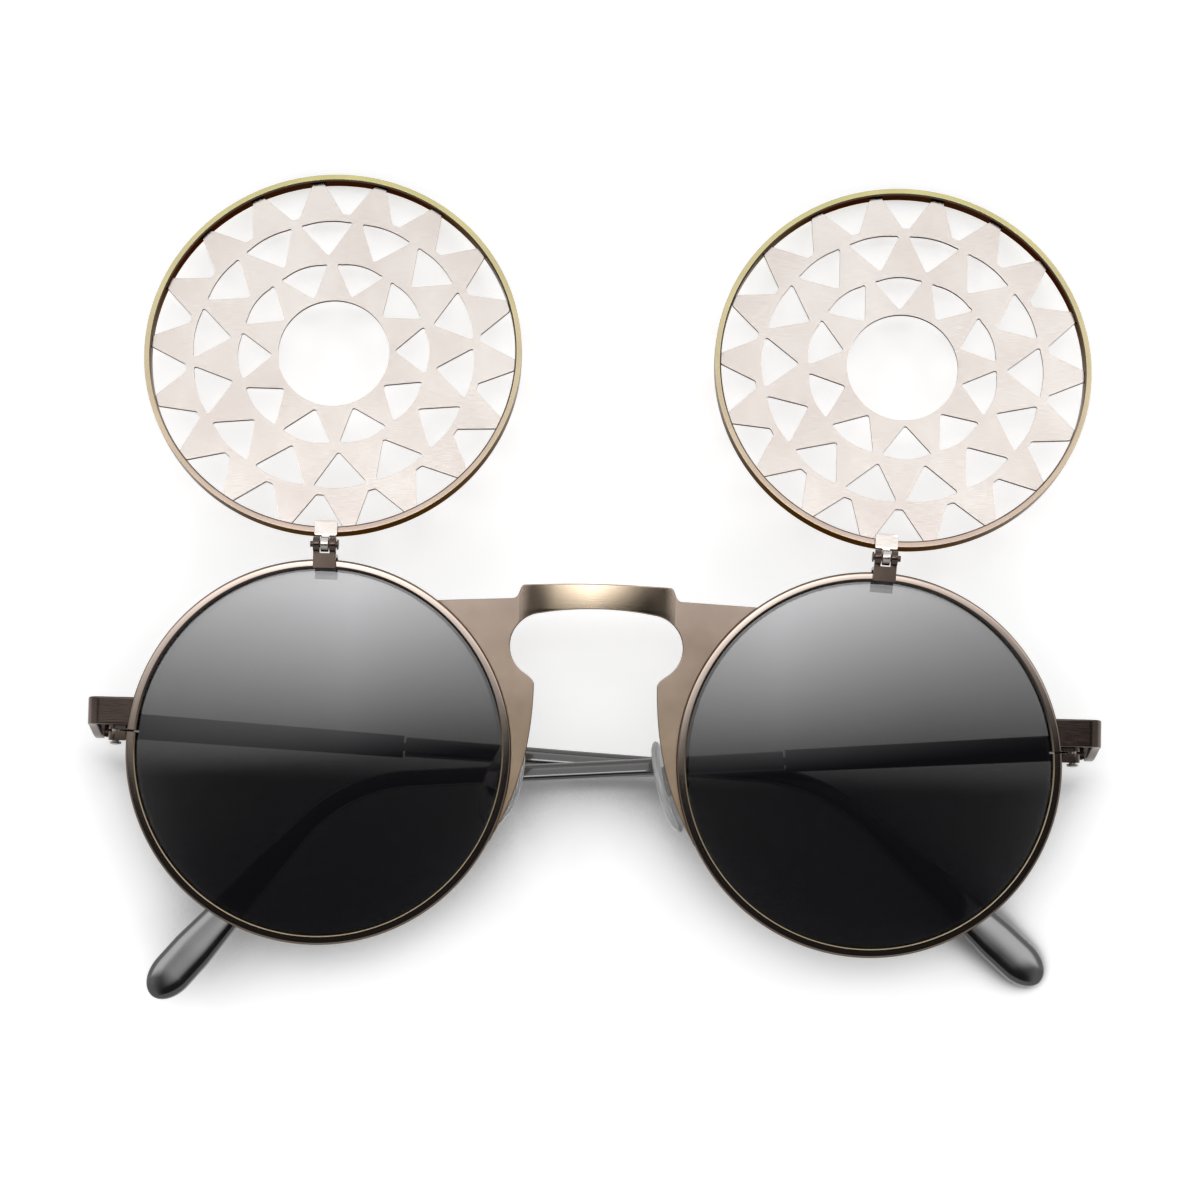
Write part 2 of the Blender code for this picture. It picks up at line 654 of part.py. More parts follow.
def make_temple_tip(name, side, mat, parent):
    """The moulded sleeve: slim, bent down behind the ear, with a broad rounded end."""
    across = Vector((side, 0, 0))
    start = BAR_LENGTH + GAP
    bore = 2 * (CORE_RADIUS + RUNNING_GAP)
    sections = []

    def section(along, width, height, corner, inset=0.0):
        y, z, angle = temple_path(name, along)
        origin = Vector((side * (BAR_OFFSET - inset), y, z))
        up = Vector((0, math.sin(angle), math.cos(angle)))
        return rounded_section(origin, across, up, width, height, corner)

    soft = CORE_RADIUS / 2
    sections.append(section(BAR_LENGTH + CORE_LENGTH + GAP, bore, bore, soft))
    sections.append(section(start, bore, bore, soft))
    bend_start = BEND_START[name]
    bend_length = BEND_RADIUS[name] * TIP_BEND[name]
    full = TEMPLE_LENGTH - PADDLE_ROUND
    stops = [start, start + SLEEVE_THICKNESS / 2, SLIM_START, bend_start]
    bends = 7
    stops += [bend_start + bend_length * (i + 1) / bends for i in range(bends)]
    stops += [TEMPLE_LENGTH - PADDLE_LENGTH, full]
    rounds = 6
    for i in range(1, rounds + 1):
        stops.append(full + PADDLE_ROUND * math.sin(math.radians(84) * i / rounds))
    for along in stops:
        height, width = sleeve_size(name, along)
        inset = (width - SLEEVE_THICKNESS) / 2
        past = max(along - full, 0) / PADDLE_ROUND
        shrink = math.sqrt(1 - past ** 2)
        height *= shrink
        width *= END_SHARE + (1 - END_SHARE) * shrink
        corner = SLEEVE_ROUND_SHARE * min(height, width)
        sections.append(section(along, width, height, corner, inset))
    add_solid("temple_tip_" + name, loft(sections), mat, parent)


# Covers

def polar(radius, angle):
    """A point on the closed cover; angle zero points away from the hinge."""
    return radius * math.sin(angle), -radius * math.cos(angle)


def tooth_points(index):
    """One pointed tooth whose blunt tip meets the ring, and the valley after it."""
    pitch = math.tau / TEETH
    middle = index * pitch
    tip = TOOTH_TIP_WIDTH / LATTICE_RADIUS / 2
    root_radius = LATTICE_RADIUS * VALLEY_SHARE
    root = (pitch - VALLEY_WIDTH / root_radius) / 2
    return [polar(root_radius, middle - root), polar(LATTICE_RADIUS, middle - tip),
            polar(LATTICE_RADIUS, middle + tip), polar(root_radius, middle + root)]


def wedge_hole(index, count, turn, arc_share, apex_share):
    """A cut-out with an arched outer side and a point towards the middle."""
    pitch = math.tau / count
    middle = index * pitch + turn
    outer = LATTICE_RADIUS * arc_share
    half = (pitch - NECK_WIDTH / outer) / 2
    corners = [polar(LATTICE_RADIUS * apex_share, middle),
               polar(outer, middle - half), polar(outer, middle + half)]
    soft = rounded(corners, CUT_ROUND)
    step = CORNER_STEPS + 1
    before, after = soft[:2 * step], soft[2 * step:]
    first = Vector(before[-1])
    last = Vector(after[0])
    arch = 1 / math.cos(half) - 1
    crown = []
    for i in range(1, ARCH_STEPS):
        share = i / ARCH_STEPS
        swell = 1 + arch * (1 - (2 * share - 1) ** 2)
        crown.append(tuple(first.lerp(last, share) * swell))
    return before + crown + after


def make_lattice(name, mat, parent, place):
    """A flat sheet cut into three rows of triangles round an open middle."""
    outline = []
    for index in range(TEETH):
        outline += tooth_points(index)
    outline = rounded(outline, CUT_ROUND)
    holes = [circle((0, 0), LATTICE_RADIUS * EYE_SHARE, 2 * SMALL_STEPS)]
    for index in range(MIDDLE_HOLES):
        holes.append(wedge_hole(index, MIDDLE_HOLES, MIDDLE_TURN,
                                MIDDLE_ARC_SHARE, MIDDLE_APEX_SHARE))
    for index in range(INNER_HOLES):
        holes.append(wedge_hole(index, INNER_HOLES, INNER_TURN,
                                INNER_ARC_SHARE, INNER_APEX_SHARE))
    half = LATTICE_THICKNESS / 2
    bm = prism(outline, holes, -half, half, along_y)
    turned = place @ Matrix.Rotation(-LATTICE_TURN[name], 4, "Y")
    add_solid("cover_lattice_" + name, bm, mat, parent, turned)


def make_cover_ring(name, mat, parent, place):
    """A band with slightly broken edges that frames the lattice."""
    half = COVER_DEPTH / 2
    inner = RIM_RADIUS - COVER_WALL
    profile = [
        (inner, -half),
        (RIM_RADIUS - COVER_EDGE, -half),
        (RIM_RADIUS, COVER_EDGE - half),
        (RIM_RADIUS, half - COVER_EDGE),
        (RIM_RADIUS - COVER_EDGE, half),
        (inner, half),
    ]
    add_solid("cover_ring_" + name, revolve(profile, ROUND_STEPS), mat, parent, place)


def knuckle(low, high):
    bore = circle((0, 0), PIN_RADIUS + RUNNING_GAP, FINE_STEPS)
    return prism(circle((0, 0), BARREL_RADIUS, SMALL_STEPS), [bore], low, high, along_x)


def make_cover_leaf(name, mat, parent):
    """The leaf on the cover: a plate on the ring and a tongue to the middle knuckle."""
    half = BARREL_WIDTH / 2
    tongue = MIDDLE_BARREL_WIDTH / 2 - OVERRUN * RUNNING_GAP
    bottom = -(AXIS_REACH + COVER_WALL + LEAF_OVERHANG)
    shoulder = -(BARREL_RADIUS + GAP)
    outline = rounded(box_outline(-half, half, bottom, shoulder), LEAF_ROUND)
    back = -GAP
    bm = prism(outline, [], back - LEAF_THICKNESS, back, along_y)
    item = add_solid("cover_hinge_leaf_" + name, bm, mat, parent)
    inset = LEAF_THICKNESS / 10
    stem = block((-tongue, tongue), (back - LEAF_THICKNESS + inset, back - inset),
                 (shoulder - GAP, -PIN_RADIUS - 2 * inset))
    add_boolean(item, "cover_leaf_stem_" + name, stem, "UNION")
    half_middle = MIDDLE_BARREL_WIDTH / 2
    add_boolean(item, "cover_leaf_knuckle_" + name, knuckle(-half_middle, half_middle), "UNION")


def make_cover_bracket(name, mat, parent):
    """The bracket on the rim: a saddle over the wire that carries the outer knuckles."""
    half = BARREL_WIDTH / 2
    slot = MIDDLE_BARREL_WIDTH / 2 + RUNNING_GAP
    rim_front = -COVER_AXIS_DEPTH - RIM_DEPTH / 2
    rim_back = rim_front + RIM_DEPTH
    rim_top = -AXIS_REACH
    crown = rim_top + GAP
    top = crown + LEAF_THICKNESS
    front_end = rim_top - RIM_WALL
    tab_end = front_end - TAB_OVERHANG
    front = rim_front - GAP - LEAF_THICKNESS
    back = rim_back + GAP + LEAF_THICKNESS
    outline = [(front, front_end), (front + LEAF_THICKNESS, front_end),
               (front + LEAF_THICKNESS, crown), (back - LEAF_THICKNESS, crown),
               (back - LEAF_THICKNESS, tab_end), (back, tab_end), (back, top), (front, top)]
    bm = prism(outline, [], -half, half, along_x)
    item = add_solid("cover_hinge_bracket_" + name, bm, mat, parent)
    inset = LEAF_THICKNESS / 10
    for end, tag in ((-1, "inner_"), (1, "outer_")):
        low, high = sorted((end * slot, end * half))
        reach = 2 * inset
        stem = block((low + inset, high - inset), (front + inset, front + LEAF_THICKNESS - inset),
                     (top - reach, -PIN_RADIUS - RUNNING_GAP - inset))
        add_boolean(item, "cover_bracket_stem_" + tag + name, stem, "UNION")
        add_boolean(item, "cover_bracket_knuckle_" + tag + name, knuckle(low, high), "UNION")


def make_cover_pin(name, side, mat, parent):
    half = BARREL_WIDTH / 2
    neck = half + RUNNING_GAP
    bm = headed_screw(PIN_RADIUS, PIN_HEAD_RADIUS, side * (neck + PIN_HEAD_WIDTH),
                      -side * neck, -side * (neck + PIN_HEAD_WIDTH), along_x)
    add_solid("cover_hinge_pin_" + name, bm, mat, parent)


def make_cover(name, side, mats, front):
    """A cover on its hinge, flipped up from in front of the lens until it leans back."""
    clock = COVER_CLOCK[name]
    axis = Vector((side * (LENS_OFFSET + COVER_AXIS_RADIUS * math.sin(clock)),
                   COVER_AXIS_DEPTH, COVER_AXIS_RADIUS * math.cos(clock)))
    frame = Matrix.Translation(axis) @ Matrix.Rotation(side * clock, 4, "Y")
    fixed = add_empty("cover_hinge_axis_" + name, front, frame)
    flip = Matrix.Rotation(-(math.pi + cover_lean()), 4, "X")
    moving = add_empty("cover_flip_" + name, fixed, flip)
    skew = COVER_SKEW[name]
    ring = (Matrix.Rotation(-side * skew, 4, "Y")
            @ Matrix.Translation((0, -COVER_FACE - COVER_DEPTH / 2, -COVER_AXIS_RADIUS)))
    make_cover_ring(name, mats["champagne"], moving, ring)
    make_lattice(name, mats["champagne"], moving, ring)
    make_cover_leaf(name, mats["champagne"], moving)
    make_cover_bracket(name, mats["dark_bronze"], fixed)
    make_cover_pin(name, side, mats["dark_bronze"], fixed)


# Nose pads

def pad_frame(name, side):
    """Pad axes: X along its width to the back, Y towards the nose, Z up its length."""
    splay = PAD_SPLAY[name]
    lean = Matrix.Rotation(-side * PAD_LEAN, 4, "Y")
    width = Vector((side * math.sin(splay), math.cos(splay), 0))
    nose = Vector((-side * math.cos(splay), math.sin(splay), 0))
    up = Vector((0, 0, 1))
    turn = Matrix((width, nose, up)).transposed().to_4x4()
    place = Matrix.Translation((side * PAD_OFFSET[name], PAD_DEPTH[name], PAD_LEVEL))
    return place @ lean @ turn


def make_nose_pad(name, mat, parent):
    """An oval pad with domed faces and the stud that its screw goes through."""
    steps = 16
    rows = ((0.0, 0.86), (0.25, 1.0), (0.65, 0.98), (0.92, 0.82), (1.0, 0.55))
    sections = []
    for depth_share, size_share in rows:
        loop = []
        for u, v in circle((0, 0), 1, steps):
            taper = 1 - 0.12 * v
            loop.append((u * taper * size_share * PAD_WIDTH / 2,
                         PAD_STANDOFF + depth_share * PAD_THICKNESS,
                         v * size_share * PAD_LENGTH / 2))
        sections.append(loop)
    item = add_solid("nose_pad_" + name, loft(sections), mat, parent)
    half_width = STUD_WIDTH / 2
    half_length = STUD_LENGTH / 2
    stud = block((-half_width, half_width), (-half_length, PAD_STANDOFF + PAD_THICKNESS / 3),
                 (-half_length, half_length))
    add_boolean(item, "pad_stud_" + name, stud, "UNION")
    hole = rod(PAD_SCREW_RADIUS + RUNNING_GAP, -STUD_WIDTH, STUD_WIDTH, along_x, FINE_STEPS)
    add_boolean(item, "pad_stud_bore_" + name, hole, "DIFFERENCE")


def box_depths():
    """Front of the pad box's slot, bottom of its slot and its base, from the screw."""
    open_end = STUD_LENGTH / 2 - GAP / 2
    floor = -(STUD_LENGTH / 2 + GAP)
    return open_end, floor, floor - BOX_BASE


def make_pad_box(name, metal, steel, parent):
    """The open box that holds the pad's stud between two cheeks, and its screw."""
    open_end, floor, base = box_depths()
    slot = STUD_WIDTH / 2 + RUNNING_GAP
    wall = slot + BOX_WALL
    outline = [(-wall, base), (wall, base), (wall, open_end), (slot, open_end),
               (slot, floor), (-slot, floor), (-slot, open_end), (-wall, open_end)]
    bm = prism(outline, [], -BOX_LENGTH / 2, BOX_LENGTH / 2, along_z)
    item = add_solid("nose_pad_box_" + name, bm, metal, parent)
    hole = rod(PAD_SCREW_RADIUS + RUNNING_GAP, -wall - OVERRUN, wall + OVERRUN,
               along_x, FINE_STEPS)
    add_boolean(item, "pad_box_bore_" + name, hole, "DIFFERENCE")
    neck = wall + RUNNING_GAP
    head = 2 * PAD_SCREW_RADIUS - RUNNING_GAP
    bm = headed_screw(PAD_SCREW_RADIUS, head, wall, -neck, -neck - BOX_WALL, along_x)
    add_solid("nose_pad_screw_" + name, bm, steel, parent)


def make_pad_arm(name, side, mat, front):
    """A bent wire from the back of the rim to the base of the pad box."""
    wire = RIM_RADIUS - RIM_WALL / 2
    foot = Vector((side * (LENS_OFFSET - math.sqrt(wire ** 2 - ARM_LEVEL ** 2)),
                   RIM_DEPTH / 2 + GAP, ARM_LEVEL))
    frame = pad_frame(name, side)
    base = box_depths()[2]
    end = frame @ Vector((0, base + ARM_RADIUS, -BOX_LENGTH / 2 - GAP))
    run = (frame.to_3x3() @ Vector((0, 0, -1))).normalized()
    back = Vector((0, 1, 0))
    span = (end - foot).length
    handle_one = foot + back * (ARM_REACH + abs(end.y - foot.y) / 2)
    handle_two = end + run * span / 3
    bm = bmesh.new()
    steps = 8
    loops = []
    for i in range(steps + 1):
        t = i / steps
        s = 1 - t
        point = (foot * s ** 3 + handle_one * 3 * s * s * t + handle_two * 3 * s * t * t
                 + end * t ** 3)
        slope = ((handle_one - foot) * s * s + (handle_two - handle_one) * 2 * s * t
                 + (end - handle_two) * t * t).normalized()
        across = slope.cross(Vector((1, 0, 0))).normalized()
        up = slope.cross(across)
        loops.append([bm.verts.new(point + across * u + up * v)
                      for u, v in circle((0, 0), ARM_RADIUS, 8)])
    for one, two in zip(loops, loops[1:]):
        for i in range(8):
            bm.faces.new((one[i], one[i - 1], two[i - 1], two[i]))
    bm.faces.new(loops[0])
    bm.faces.new(loops[-1])
    add_solid("nose_pad_arm_" + name, bm, mat, front)


# Assembly

def stand_on_table(root):
    """Put the origin under the middle of the whole pair, on the table."""
    bpy.context.view_layer.update()
    graph = bpy.context.evaluated_depsgraph_get()
    corners = []
    for item in bpy.data.objects:
        if item.type != "MESH" or item.hide_render:
            continue
        mesh = item.evaluated_get(graph).data
        corners += [item.matrix_world @ v.co for v in mesh.vertices]
    low = [min(c[i] for c in corners) for i in range(3)]
    high = [max(c[i] for c in corners) for i in range(3)]
    middle = Vector(((low[0] + high[0]) / 2, (low[1] + high[1]) / 2, low[2]))
    root.location -= middle
    bpy.context.view_layer.update()


def main():
    clear_scene()
    mats = {
        "bronze": make_material("brushed_bronze", (0.40, 0.30, 0.24), 0.9, 0.38),
        "dark_bronze": make_material("dark_bronze", (0.075, 0.055, 0.05), 0.8, 0.35),
        "champagne": make_material("champagne_metal", (0.86, 0.74, 0.69), 0.9, 0.3),
        "steel": make_material("screw_steel", (0.55, 0.53, 0.50), 1.0, 0.25),
        "smoke": make_material("smoke_lens", (0.02, 0.02, 0.022), 0.0, 0.05, 0.6),
        "black": make_material("black_acetate", (0.012, 0.012, 0.013), 0.0, 0.15),
        "clear": make_material("clear_silicone", (0.85, 0.87, 0.88), 0.0, 0.12, 0.9),
    }
    lying = Matrix.Rotation(-math.pi / 2 - TABLE_TILT, 4, "X")
    front = add_empty("front_frame", None, lying)
    make_bridge(mats["bronze"], front)
    for name, side in SIDES:
        make_rim(name, side, mats["dark_bronze"], front)
        make_lens(name, side, mats["smoke"], front)
        make_end_piece(name, side, mats["dark_bronze"], front)
        make_closing_blocks(name, side, mats["dark_bronze"], mats["steel"], front)
        hinge = add_empty("temple_axis_" + name, front, temple_hinge_frame(name, side))
        fold = Matrix.Rotation(side * TEMPLE_FOLD[name], 4, "Z")
        temple = add_empty("temple_swing_" + name, hinge, fold)
        make_temple_hinge(name, side, mats["dark_bronze"], mats["steel"], hinge, temple)
        make_temple_bar(name, side, mats["dark_bronze"], temple)
        make_temple_tip(name, side, mats["black"], temple)
        make_cover(name, side, mats, front)
        pad = add_empty("nose_pad_axis_" + name, front, pad_frame(name, side))
        make_nose_pad(name, mats["clear"], pad)
        make_pad_box(name, mats["dark_bronze"], mats["steel"], pad)
        make_pad_arm(name, side, mats["dark_bronze"], front)
    stand_on_table(front)


main()
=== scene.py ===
"""Looks for the round flip-up sunglasses: finely modelled pieces, finishes, light, camera."""

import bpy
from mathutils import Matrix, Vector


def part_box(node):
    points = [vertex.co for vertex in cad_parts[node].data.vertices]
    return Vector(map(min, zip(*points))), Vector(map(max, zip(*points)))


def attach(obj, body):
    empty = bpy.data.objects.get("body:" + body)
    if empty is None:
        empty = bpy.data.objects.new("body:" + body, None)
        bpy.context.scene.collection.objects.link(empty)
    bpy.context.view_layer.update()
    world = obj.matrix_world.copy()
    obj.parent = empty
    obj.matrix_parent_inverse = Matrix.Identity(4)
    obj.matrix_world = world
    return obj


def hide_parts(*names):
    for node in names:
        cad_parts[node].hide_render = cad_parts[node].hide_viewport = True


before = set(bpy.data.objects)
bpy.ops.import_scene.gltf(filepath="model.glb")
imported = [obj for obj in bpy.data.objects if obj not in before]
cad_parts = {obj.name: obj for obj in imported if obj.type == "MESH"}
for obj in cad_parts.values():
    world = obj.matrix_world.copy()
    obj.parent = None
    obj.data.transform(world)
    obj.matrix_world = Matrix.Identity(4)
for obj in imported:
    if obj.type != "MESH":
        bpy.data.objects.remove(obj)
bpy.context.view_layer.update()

from math import (acos, asin, atan2, copysign, cos, hypot, isclose, pi, radians,
                  sin, sqrt, tan, tau)

import bmesh
import bpy
from mathutils import Matrix, Vector


def degrees(left, right):
    """An angle for each side."""
    return {"left": radians(left), "right": radians(right)}


# Driving dimensions, in metres, as in the solids
GAP = 0.0003
RUNNING_GAP = 0.00015
BRIDGE_WIDTH = 0.0218
RIM_RADIUS = 0.0253
RIM_WALL = 0.0012
RIM_DEPTH = 0.0024
GROOVE_DEPTH = 0.0007
GROOVE_LIP = 0.0004
LENS_THICKNESS = 0.0018
LENS_CURVE = 0.22
PLATE_THICKNESS = 0.0009
WING_DROP = 0.0050
CREST_DROP = 0.0045
SADDLE_DROP = 0.0027
SADDLE_HALF = 0.0100
SADDLE_STEP = 0.0006
SADDLE_CROWN = 0.0002
SADDLE_BOW = 0.0018
CREASE_OFFSET = 0.0103
ARCH_DROP = 0.0058
LOBE_RADIUS = 0.0043
LOBE_OFFSET = 0.0071
LOBE_DROP = 0.0107
SHOULDER_OFFSET = 0.0081
SHOULDER_DROP = 0.0152
SHOULDER_ROUND = 0.0006
FLANK_OFFSET = 0.0082
FLANK_HEIGHT = -0.0030
PLATE_TIP_HEIGHT = -0.0117
END_REACH = 0.0054
STRAP_HEIGHT = 0.00365
STRAP_THICKNESS = 0.0012
STRAP_LEVEL = 0.00475
STRAP_FACE = 0.00075
STRAP_BEND = 0.0013
SLIT = 0.0003
SLIT_LEVEL = 0.0022
BLOCK_LENGTH = 0.0024
BLOCK_WIDTH = 0.0019
UPPER_BLOCK_HEIGHT = 0.0020
LOWER_BLOCK_HEIGHT = 0.0012
BLOCK_SCREW_RADIUS = 0.0005
BLOCK_HEAD_RADIUS = 0.00078
BLOCK_HEAD_HEIGHT = 0.00045
HINGE_DEPTH = 0.0102
HINGE_LEVEL = 0.00295
KNUCKLE_RADIUS = 0.00115
KNUCKLE_HEIGHT = 0.0030
MIDDLE_KNUCKLE_HEIGHT = 0.0010
HINGE_SCREW_RADIUS = 0.00045
HINGE_HEAD_RADIUS = 0.00085
HINGE_HEAD_HEIGHT = 0.0005
FOOT_INSET = 0.00025
REAR_FOOT_LENGTH = 0.0042
FRONT_FOOT_LENGTH = 0.0042
TEMPLE_DROOP = degrees(3.0, 4.0)
TEMPLE_FOLD = degrees(90.0, 93.3)
BAR_OFFSET = 0.0020
BAR_THICKNESS = 0.0012
BAR_HEIGHT = 0.00355
BAR_END_HEIGHT = 0.0030
BAR_BUTT = 0.0020
BAR_LENGTH = 0.0385
CORE_RADIUS = 0.00055
CORE_LENGTH = 0.0420
SLEEVE_THICKNESS = 0.0020
SLEEVE_START_HEIGHT = 0.0027
SLIM_HEIGHT = 0.0024
SLIM_START = 0.0620
BEND_START = {"left": 0.0867, "right": 0.0891}
BEND_RADIUS = {"left": 0.0250, "right": 0.0208}
TIP_BEND = degrees(38.7, 45.2)
BEND_HEIGHT = 0.0027
PADDLE_HEIGHT = 0.0057
PADDLE_THICKNESS = 0.0024
PADDLE_LENGTH = 0.0080
TEMPLE_LENGTH = 0.1350
PADDLE_ROUND = 0.0042
END_SHARE = 0.4
COVER_WALL = 0.00088
COVER_DEPTH = 0.0022
LATTICE_THICKNESS = 0.00045
AXIS_REACH = 0.0019
LEAF_THICKNESS = 0.00045
BARREL_RADIUS = 0.0010
BARREL_WIDTH = 0.0030
MIDDLE_BARREL_WIDTH = 0.0010
PIN_RADIUS = 0.0004
PIN_HEAD_RADIUS = 0.00068
PIN_HEAD_WIDTH = 0.00025
LEAF_OVERHANG = 0.0006
TAB_OVERHANG = 0.0013
COVER_CLOCK = degrees(-0.4, 3.4)
COVER_SKEW = degrees(0.9, 1.8)
LATTICE_TURN = degrees(-6.9, -173.7)
TEETH = 18
MIDDLE_HOLES = 14
INNER_HOLES = 10
VALLEY_SHARE = 0.825
MIDDLE_ARC_SHARE = 0.785
MIDDLE_APEX_SHARE = 0.575
INNER_ARC_SHARE = 0.533
INNER_APEX_SHARE = 0.338
EYE_SHARE = 0.309
MIDDLE_TURN = radians(2.1)
INNER_TURN = radians(-13.9)
TOOTH_TIP_WIDTH = 0.0016
VALLEY_WIDTH = 0.0010
NECK_WIDTH = 0.0010
CUT_ROUND = 0.0004
PAD_LENGTH = 0.0126
PAD_WIDTH = 0.0062
PAD_THICKNESS = 0.0013
PAD_LEAN = radians(17.0)
PAD_SPLAY = degrees(52.0, 20.0)
PAD_OFFSET = {"left": 0.0128, "right": 0.0111}
PAD_DEPTH = {"left": 0.0027, "right": 0.0034}
PAD_LEVEL = -0.0032
STUD_LENGTH = 0.0012
STUD_WIDTH = 0.0009
BOX_WALL = 0.00035
BOX_LENGTH = 0.0017
BOX_BASE = 0.0004
PAD_SCREW_RADIUS = 0.0003
PAD_STANDOFF = 0.0008
ARM_RADIUS = 0.00045
ARM_LEVEL = -0.0055
ARM_REACH = 0.0004
TABLE_TILT = radians(1.5)

# Fine steps, edges and curves, which only the visible surface has
ROUND_STEPS = 240
SMALL_STEPS = 40
CORNER_STEPS = 9
FINE_EDGE = 0.00006
SOFT_EDGE = 0.00022
RIM_SOFT_EDGE = 0.00035
RIM_CROWN = 0.00005
RIM_LIP_LOW = 0.00012
RIM_LIP_HIGH = 0.00030
RING_LIP = 0.00022
HAIR_EDGE = 0.00004
SADDLE_ROLL = 0.00012
SLEEVE_TWIST = radians(8.0)
SLEEVE_WEDGE = 0.5
BEND_STEP = 0.0005
DOME_POWER = 2.6
LIP_SHIFT = 0.4
PLATE_ANGLE = 14
SOFT_ANGLE = 60
LENS_RINGS = 10
ARCH_STEPS = 20
STEP_STEPS = 8
WING_STEPS = 60
FLANK_STEPS = 30
SHOULDER_STEPS = 6
LOBE_STEPS = 40
LOBE_ARC = (radians(-58), radians(86))
STRAP_STEPS = 12
SLEEVE_COUNT = 72
SLEEVE_ROUNDS = 16
LAST_ROUND = radians(88)
CROWN_STEPS = 12
PAD_STEPS = 64
PAD_TAPER = 0.12
PAD_ROWS = ((0.0, 0.80), (0.06, 0.88), (0.2, 0.97), (0.4, 1.0), (0.6, 0.985), (0.78, 0.93),
            (0.9, 0.82), (0.97, 0.62), (1.0, 0.3))
WIRE_STEPS = 32
WIRE_SIDES = 24

SIDES = (("left", -1), ("right", 1))

# Sizes that follow from those above
LENS_OFFSET = BRIDGE_WIDTH / 2 + RIM_RADIUS
RIM_INNER = RIM_RADIUS - RIM_WALL
WING_TOP = RIM_RADIUS - WING_DROP
WING_CREST = RIM_RADIUS - CREST_DROP
SADDLE_TOP = RIM_RADIUS - SADDLE_DROP
ARCH_TOP = RIM_RADIUS - ARCH_DROP
LOBE_HEIGHT = RIM_RADIUS - LOBE_DROP
SHOULDER_HEIGHT = RIM_RADIUS - SHOULDER_DROP
HINGE_OFFSET = LENS_OFFSET + RIM_RADIUS + END_REACH - STRAP_THICKNESS / 2 - BAR_OFFSET
COVER_AXIS_RADIUS = RIM_RADIUS + AXIS_REACH
COVER_AXIS_DEPTH = -(RIM_DEPTH / 2 + GAP + LEAF_THICKNESS)
COVER_FACE = 2 * GAP + LEAF_THICKNESS
LATTICE_RADIUS = RIM_RADIUS - COVER_WALL - GAP


def cover_lean():
    reach = AXIS_REACH + 2 * RIM_RADIUS
    back = COVER_FACE + COVER_DEPTH
    room = (BAR_OFFSET + SLEEVE_THICKNESS / 2
            + (HINGE_DEPTH - COVER_AXIS_DEPTH) * cos(TABLE_TILT)
            - (COVER_AXIS_RADIUS - HINGE_LEVEL) * sin(TABLE_TILT))
    return asin(room / hypot(reach, back)) - atan2(back, reach) - TABLE_TILT


# Frames of the pieces, worked out from where the solids lie

def spin(angle, axis):
    return Matrix.Rotation(angle, 4, axis)


def shift(place):
    return Matrix.Translation(place)


def front_frame():
    low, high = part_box("rim_left")
    middle = (low + high) / 2
    return shift((0, middle.y, middle.z)) @ spin(-pi / 2 - TABLE_TILT, "X")


FRONT = front_frame()


def temple_axis(name, side):
    return (FRONT @ shift((side * HINGE_OFFSET, HINGE_DEPTH, HINGE_LEVEL))
            @ spin(TABLE_TILT, "X") @ spin(-side * TEMPLE_DROOP[name], "Y"))


def temple_swing(name, side):
    return temple_axis(name, side) @ spin(side * TEMPLE_FOLD[name], "Z")


def cover_axis(name, side):
    clock = COVER_CLOCK[name]
    axis = Vector((side * (LENS_OFFSET + COVER_AXIS_RADIUS * sin(clock)),
                   COVER_AXIS_DEPTH, COVER_AXIS_RADIUS * cos(clock)))
    return FRONT @ shift(axis) @ spin(side * clock, "Y")


def cover_flip(name, side):
    return cover_axis(name, side) @ spin(-(pi + cover_lean()), "X")


def cover_ring_frame(name, side):
    return (cover_flip(name, side) @ spin(-side * COVER_SKEW[name], "Y")
            @ shift((0, -COVER_FACE - COVER_DEPTH / 2, -COVER_AXIS_RADIUS)))


def pad_frame(name, side):
    splay = PAD_SPLAY[name]
    width = (side * sin(splay), cos(splay), 0)
    nose = (-side * cos(splay), sin(splay), 0)
    turn = Matrix((width, nose, (0, 0, 1))).transposed().to_4x4()
    place = shift((side * PAD_OFFSET[name], PAD_DEPTH[name], PAD_LEVEL))
    return place @ spin(-side * PAD_LEAN, "Y") @ turn


# Shape helpers

def arc(centre, radius, start, end, steps):
    x, y = centre
    angles = [start + (end - start) * i / steps for i in range(steps + 1)]
    return [(x + radius * cos(angle), y + radius * sin(angle)) for angle in angles]


def circle(centre, radius, steps):
    return arc(centre, radius, 0, tau, steps)[:-1]


def bezier(p0, p1, p2, steps):
    points = []
    for i in range(steps + 1):
        t = i / steps
        points.append(tuple((1 - t) ** 2 * a + 2 * t * (1 - t) * b + t * t * c
                            for a, b, c in zip(p0, p1, p2)))
    return points


def rounded(points, radius, steps=CORNER_STEPS):
    """A closed outline with its corners rounded; radius is one value or one for each corner."""
    result = []
    count = len(points)
    for i in range(count):
        size = radius[i] if isinstance(radius, (list, tuple)) else radius
        here = Vector(points[i])
        if size == 0:
            result.append(tuple(here))
            continue
        before = Vector(points[i - 1]) - here
        after = Vector(points[(i + 1) % count]) - here
        turn = before.angle(after)
        cut = min(size / tan(turn / 2), before.length / 2, after.length / 2)
        start = here + before.normalized() * cut
        end = here + after.normalized() * cut
        result += bezier(start, here, end, steps)
    return result


def box_outline(x0, x1, y0, y1):
    return [(x0, y0), (x1, y0), (x1, y1), (x0, y1)]


def loft(sections, closed=False):
    """A skin over cross-sections with the same number of points, capped unless it closes."""
    bm = bmesh.new()
    loops = [[bm.verts.new(p) for p in section] for section in sections]
    pairs = list(zip(loops, loops[1:]))
    if closed:
        pairs.append((loops[-1], loops[0]))
    for one, two in pairs:
        for i in range(len(one)):
            j = (i + 1) % len(one)
            bm.faces.new((one[i], one[j], two[j], two[i]))
    if not closed:
        bm.faces.new(loops[0])
        bm.faces.new(loops[-1])
    return bm


